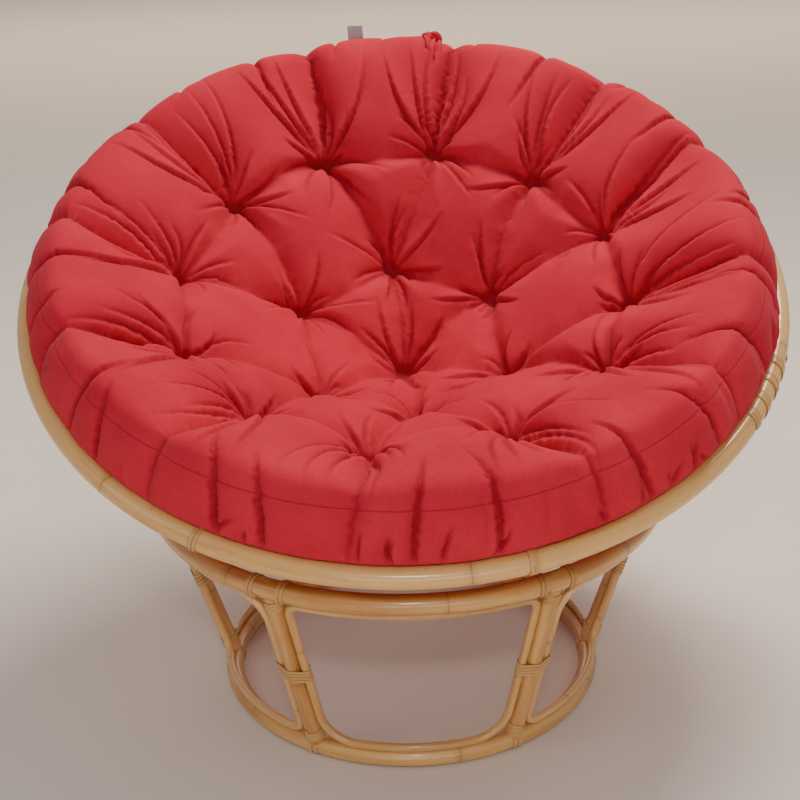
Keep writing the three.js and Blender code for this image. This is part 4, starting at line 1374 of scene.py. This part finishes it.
def settled(points, faces, held, slack):
    """Fills the cover with Blender's cloth, its tufts and underside held, and gives the new points."""
    mesh = bpy.data.meshes.new("cover")
    mesh.from_pydata(points.tolist(), [], [tuple(f) for f in faces])
    cover = in_scene("cover", mesh)
    for name, weights in (("held", held), ("slack", slack)):
        group = cover.vertex_groups.new(name=name)
        for index in np.flatnonzero(weights):
            group.add([int(index)], float(weights[index]), "REPLACE")
    cloth = cover.modifiers.new("filling", "CLOTH")
    for name, value in FILLING.items():
        setattr(cloth.settings, name, value)
    cloth.settings.effector_weights.gravity = 0
    cloth.point_cache.frame_start = 1
    cloth.point_cache.frame_end = SETTLE_FRAMES
    for number in range(1, SETTLE_FRAMES + 1):
        bpy.context.scene.frame_set(number)
    view = bpy.context.evaluated_depsgraph_get()
    filled = cover.evaluated_get(view).data
    moved = np.empty(len(points) * 3, np.float32)
    filled.vertices.foreach_get("co", moved)
    bpy.data.objects.remove(cover)
    bpy.data.meshes.remove(mesh)
    bpy.context.scene.frame_set(1)
    way = moved.reshape(-1, 3) - points
    length = np.hypot(np.hypot(way[:, 0], way[:, 1]), way[:, 2])
    capped = MOTION_CAP * np.tanh(length / MOTION_CAP)
    return points + way * (capped / np.maximum(length, 1e-9))[:, None]


def normals_of(points, faces):
    """Unit normals of a net of triangles at its points."""
    a, b, c = (points[faces[:, k]] for k in range(3))
    face = np.cross(b - a, c - a)
    total = np.zeros_like(points)
    for k in range(3):
        np.add.at(total, faces[:, k], face)
    return total / np.linalg.norm(total, axis=1)[:, None]


def sunk_net(line, reach, reaches, angles, drop):
    """The points of the net on the section, each moved in by its drop at right angles to it."""
    nearby = 8 * MM
    ahead, behind = (np.array([np.interp(np.abs(reaches + step), reach, line[:, k]) for k in (0, 1)])
                     for step in (nearby, -nearby))
    spread, rise = ahead - behind
    spread[reaches < nearby], rise[reaches < nearby] = 1, 0
    size = np.hypot(spread, rise)
    radius = np.interp(reaches, reach, line[:, 0]) + rise / size * drop
    height = np.interp(reaches, reach, line[:, 1]) - spread / size * drop
    radius[[0, -1]] = 0
    return np.stack([radius * np.sin(angles), -radius * np.cos(angles), height], 1)


def build_cushion():
    line, reach, seam_at, side_end = cushion_outline()
    reaches, angles, faces = ring_net(line, reach, seam_at, side_end)
    spots = np.stack([reaches * np.sin(angles), -reaches * np.cos(angles)], 1)
    top = reach < seam_at
    inner_at, outer_at = (np.interp(tuft_spot(*ring)[0], line[top, 0], reach[top]) for ring in TUFT_RINGS)
    tufting = Tufting(seam_at, side_end, inner_at, outer_at)
    drop, grip = tufting.drop(spots, reaches)
    drop = drop + side_gathers(reaches, angles, seam_at, side_end)
    points = sunk_net(line, reach, reaches, angles, drop)

    near_tuft = np.min([distance(spots, tuft) for tuft in tufting.tufts], axis=0)
    under = reaches > side_end - 2 * MM
    held = np.where(under | (near_tuft < TUFT_HOLD), 1.0, 0.0)
    creased = np.clip(grip / (12 * MM), 0, 1)
    held = np.maximum(held, 0.9 * creased ** 0.5)
    points = relaxed(points, faces, 0.6 * creased)
    points = settled(points, faces, held, np.where(under, 0.0, 1.0))
    points = relaxed(points, faces, 0.12 + 0.5 * creased, 3)
    points, faces, (spots, reaches) = loop_subdivided(points, faces, (spots, reaches[:, None]))
    reaches = reaches[:, 0]

    pull, shut = tufting.detail(spots, reaches)
    below, tight = underside(points, spots, reaches, side_end)
    pull, shut = pull + below, np.maximum(shut, tight)
    points = points - normals_of(points, faces) * pull[:, None]
    # The pull also sets the cover's painted shading, and the shut the painted shade in its gaps
    build_cover(points, faces, spots, np.clip(pull / (8 * MM), -1, 1), shut, reaches - seam_at)
    build_label(BOWL_MATRIX @ seam_seat(points, reaches, seam_at, LABEL_TURN))
    seat = seam_seat(points, reaches, seam_at, KNOT_TURN)
    under_tail = np.array([seat.inverted() @ cover_point(points, reaches, seam_at - step, KNOT_TURN)
                           for step in KNOT_TAIL_STEPS])
    build_knot(BOWL_MATRIX @ seat, under_tail)


def cover_point(points, reaches, reach, degrees):
    """The middle of the cover's points near one place, in the bowl's frame."""
    turns = np.arctan2(points[:, 0], -points[:, 1])
    off = (turns - math.radians(degrees) + math.pi) % FULL_TURN - math.pi
    near = (np.abs(reaches - reach) < 3 * MM) & (np.abs(off) < math.radians(1))
    return Vector(points[near].mean(0))


def seam_seat(points, reaches, seam_at, degrees):
    """A matrix for what stands on the seam: +X along it, +Y towards the middle, +Z off the cushion."""
    angle = math.radians(degrees)
    seat = Matrix((along(angle), -outward(angle), UP)).transposed().to_4x4()
    seat.translation = cover_point(points, reaches, seam_at, degrees)
    return seat


def cloth_piece(name, points, faces, seats, finish, node, painted_shading=0.0, gap=0.0, from_seam=1.0):
    """A piece of cloth from its points, with the seat of each point in its weave."""
    mesh = bpy.data.meshes.new(name)
    mesh.from_pydata(points, [], faces)
    uv = mesh.uv_layers.new(name="cloth")
    corners = np.empty(len(mesh.loops), np.int32)
    mesh.loops.foreach_get("vertex_index", corners)
    uv.data.foreach_set("uv", np.asarray(seats)[corners].astype(np.float32).ravel())
    # Marks for the finish: painted shading on folds, painted shade in gaps, and the reach from the seam for
    # its groove and painted shade
    for label, values in (("painted_shading", painted_shading), ("gap", gap), ("from_seam", from_seam)):
        mark(mesh, label, values)
    mesh.shade_smooth()
    mesh.materials.append(finish)
    piece = in_scene(name, mesh)
    dress(piece, "cushion", [node])
    return piece


def build_cover(points, faces, spots, painted_shading, shut, from_seam):
    world = points @ np.array(BOWL_MATRIX.to_3x3()).T + np.array(BOWL_CENTRE)
    cover = cloth_piece("cushion_cover", world.tolist(), faces.tolist(), spots, RED_CLOTH,
                        "cushion", painted_shading, shut, from_seam)


def build_label(seat):
    """A blank ribbon folded in two, its fold up and its ends sewn in the seam."""
    outer, inner, sunk = 0.75 * MM, 0.3 * MM, 3 * MM
    curl_size, ripple_size, ripples = 2.6 * MM, 0.9 * MM, 5
    weave_step = 1.6 * MM
    steps, stations = 14, 21
    heights = np.linspace(-sunk, LABEL_HEIGHT - outer, steps)
    over = [math.radians(a) for a in range(15, 180, 15)]
    loops = []
    for radius in (outer, inner):
        loops.append([(-radius, h) for h in heights]
                     + [(-radius * math.cos(a), heights[-1] + radius * math.sin(a)) for a in over]
                     + [(radius, h) for h in heights[::-1]])
    count = len(loops[0])
    points, seats, faces = [], [], []
    for i in range(stations):
        x = (i / (stations - 1) - 0.5) * LABEL_WIDTH
        for loop in loops:
            for k, (y, height) in enumerate(loop):
                share = max(0, height) / LABEL_HEIGHT
                curl = curl_size * share ** 2 + ripple_size * share * math.sin(x / LABEL_WIDTH * ripples)
                points.append(tuple(seat @ Vector((x, y - curl - LABEL_LEAN * height, height))))
                seats.append((x, k * weave_step))
    ring = 2 * count
    for i in range(stations - 1):
        for first, way in ((0, 1), (count, -1)):
            for k in range(count - 1):
                a = i * ring + first + k
                faces.append((a, a + ring, a + ring + 1, a + 1)[::way])
        for k, way in ((0, -1), (count - 1, 1)):
            a = i * ring + k
            faces.append((a, a + ring, a + ring + count, a + count)[::way])
    for i, way in ((0, 1), (stations - 1, -1)):
        for k in range(count - 1):
            a = i * ring + k
            faces.append((a, a + 1, a + 1 + count, a + count)[::way])
    cloth_piece("label_ribbon", points, faces, seats, LABEL_CLOTH, "care_label")


def build_knot(seat, under_tail):
    """A gathered roll of cloth: a tail that lies on the cover, and a loop turned down into the seam.

    The points of its middle line are in millimetres, the tail's from the cover under it and the
    loop's from the seat.
    """
    tail = under_tail + np.array([(-4, 0, -5), (6, 0, 1), (10, 0, 4), (10, 0, 6)]) * MM
    loop = np.array([(6, 5, 7), (1, 1, 9.5), (-3, -2, 7), (-6, -2, 1), (-6, 0, -9)]) * MM
    below = np.array([0, 0, 9 * MM])
    line = np.array(smooth_line([*tail, *loop], tail[0] - below, loop[-1] - below, 9))
    ahead = np.gradient(line, axis=0)
    ahead /= np.linalg.norm(ahead, axis=1)[:, None]
    side = np.cross(ahead, (0, 1, 0))
    side /= np.linalg.norm(side, axis=1)[:, None]
    back = np.cross(side, ahead)
    flatness = 0.8
    sides = 40
    points, seats, faces = [], [], []
    for i, middle in enumerate(line):
        share = i / (len(line) - 1)
        girth = float(np.interp(share, (0, 0.25, 0.6, 1), (3.5, 6, 8, 8))) * MM
        for k in range(sides):
            turn = k / sides * FULL_TURN
            flute = 1 + 0.14 * math.cos(4 * turn + 4 * share) + 0.08 * math.sin(7 * turn - 7 * share)
            out = side[i] * math.cos(turn) + flatness * back[i] * math.sin(turn)
            points.append(middle + out * girth * flute)
            seats.append((i * 1.6 * MM, k * 0.8 * MM))
    for i in range(len(line) - 1):
        for k in range(sides):
            a, b = i * sides + k, i * sides + (k + 1) % sides
            faces.append((a, b, b + sides, a + sides))
    for end, way in ((0, -1), (len(line) - 1, 1)):
        middle = len(points)
        points.append(line[end])
        seats.append((0, 0))
        for k in range(sides):
            a, b = end * sides + k, end * sides + (k + 1) % sides
            faces.append((middle, a, b)[::way])
    placed = [tuple(seat @ Vector(p)) for p in points]
    cloth_piece("knot_roll", placed, faces, seats, RED_CLOTH, "cushion_knot")


# Camera, floor and light

# Fitted to the photograph: yaw, pitch and roll in degrees, and the focal length in its pixels
CAMERA_PLACE = Vector((-0.0192, -1.9175, 1.1777))
CAMERA_TURNS = (0.351, 22.092, -1.405)
FOCAL_LENGTH = 1378.2
PHOTO_SIZE = 800
SENSOR_WIDTH = 36


def build_camera():
    yaw, pitch, roll = (math.radians(turn) for turn in CAMERA_TURNS)
    forward = Vector((math.sin(yaw) * math.cos(pitch), math.cos(yaw) * math.cos(pitch), -math.sin(pitch)))
    right = Vector((math.cos(yaw), -math.sin(yaw), 0))
    top = right.cross(forward)
    turned_right = right * math.cos(roll) + top * math.sin(roll)
    turned_top = top * math.cos(roll) - right * math.sin(roll)
    data = bpy.data.cameras.new("camera")
    data.sensor_width = SENSOR_WIDTH
    data.lens = FOCAL_LENGTH / PHOTO_SIZE * SENSOR_WIDTH
    camera = in_scene("camera", data)
    axes = Matrix((turned_right, turned_top, -forward)).transposed()
    camera.matrix_world = Matrix.Translation(CAMERA_PLACE) @ axes.to_4x4()
    bpy.context.scene.camera = camera


def build_floor():
    mesh = bpy.data.meshes.new("floor")
    half = 12.0
    corners = [(-half, -half, 0), (half, -half, 0), (half, half, 0), (-half, half, 0)]
    mesh.from_pydata(corners, [], [(0, 1, 2, 3)])
    finish, tree, shader = new_finish("floor_paint")
    seat = add(tree, "ShaderNodeTexCoord").outputs["Object"]
    tone = mixed(tree, noise(tree, seat, scale=1.5), colour(234, 223, 210), colour(228, 216, 202))
    tree.links.new(tone, shader.inputs["Base Color"])
    set_inputs(shader, Roughness=0.7)
    mesh.materials.append(finish)
    in_scene("floor", mesh)


# Each light's place, what it points at, its size, its power and its colour
LIGHTS = {
    "ceiling": ((0.55, 0.9, 3.1), (0, -0.1, 0.4), (1.7, 0.6), 98, (1, 0.94, 0.86)),
    "side": ((-2.6, -1.6, 2.2), (0, 0, 0.4), (1.4, 1.4), 8, (0.95, 0.97, 1)),
    "backdrop": ((0.5, 7.5, 3.6), (0.5, 7.5, 0), (10, 3), 290, (1, 0.77, 0.55)),
    "front": ((0.3, -3.4, 0.75), (0, -0.3, 0.35), (2.0, 0.8), 20, (1, 0.96, 0.93)),
    "lamp": ((0.0, -2.1, 1.7), (0, -0.3, 0.4), (0.3, 0.16), 10, (1, 0.97, 0.94)),
}


def build_light():
    world = bpy.data.worlds.new("studio")
    world.use_nodes = True
    set_inputs(world.node_tree.nodes["Background"], Color=colour(224, 226, 232), Strength=0.48)
    bpy.context.scene.world = world
    for name, (place, target, size, power, tint) in LIGHTS.items():
        data = bpy.data.lights.new(name, "AREA")
        data.shape = "RECTANGLE"
        data.size, data.size_y = size
        data.energy = power
        data.color = tint
        light = in_scene(name, data)
        light.location = place
        light.rotation_mode = "QUATERNION"
        light.rotation_quaternion = (Vector(target) - Vector(place)).to_track_quat("-Z", "Y")


build_camera()
build_floor()
build_light()
build_base()
build_bowl()
build_cushion()
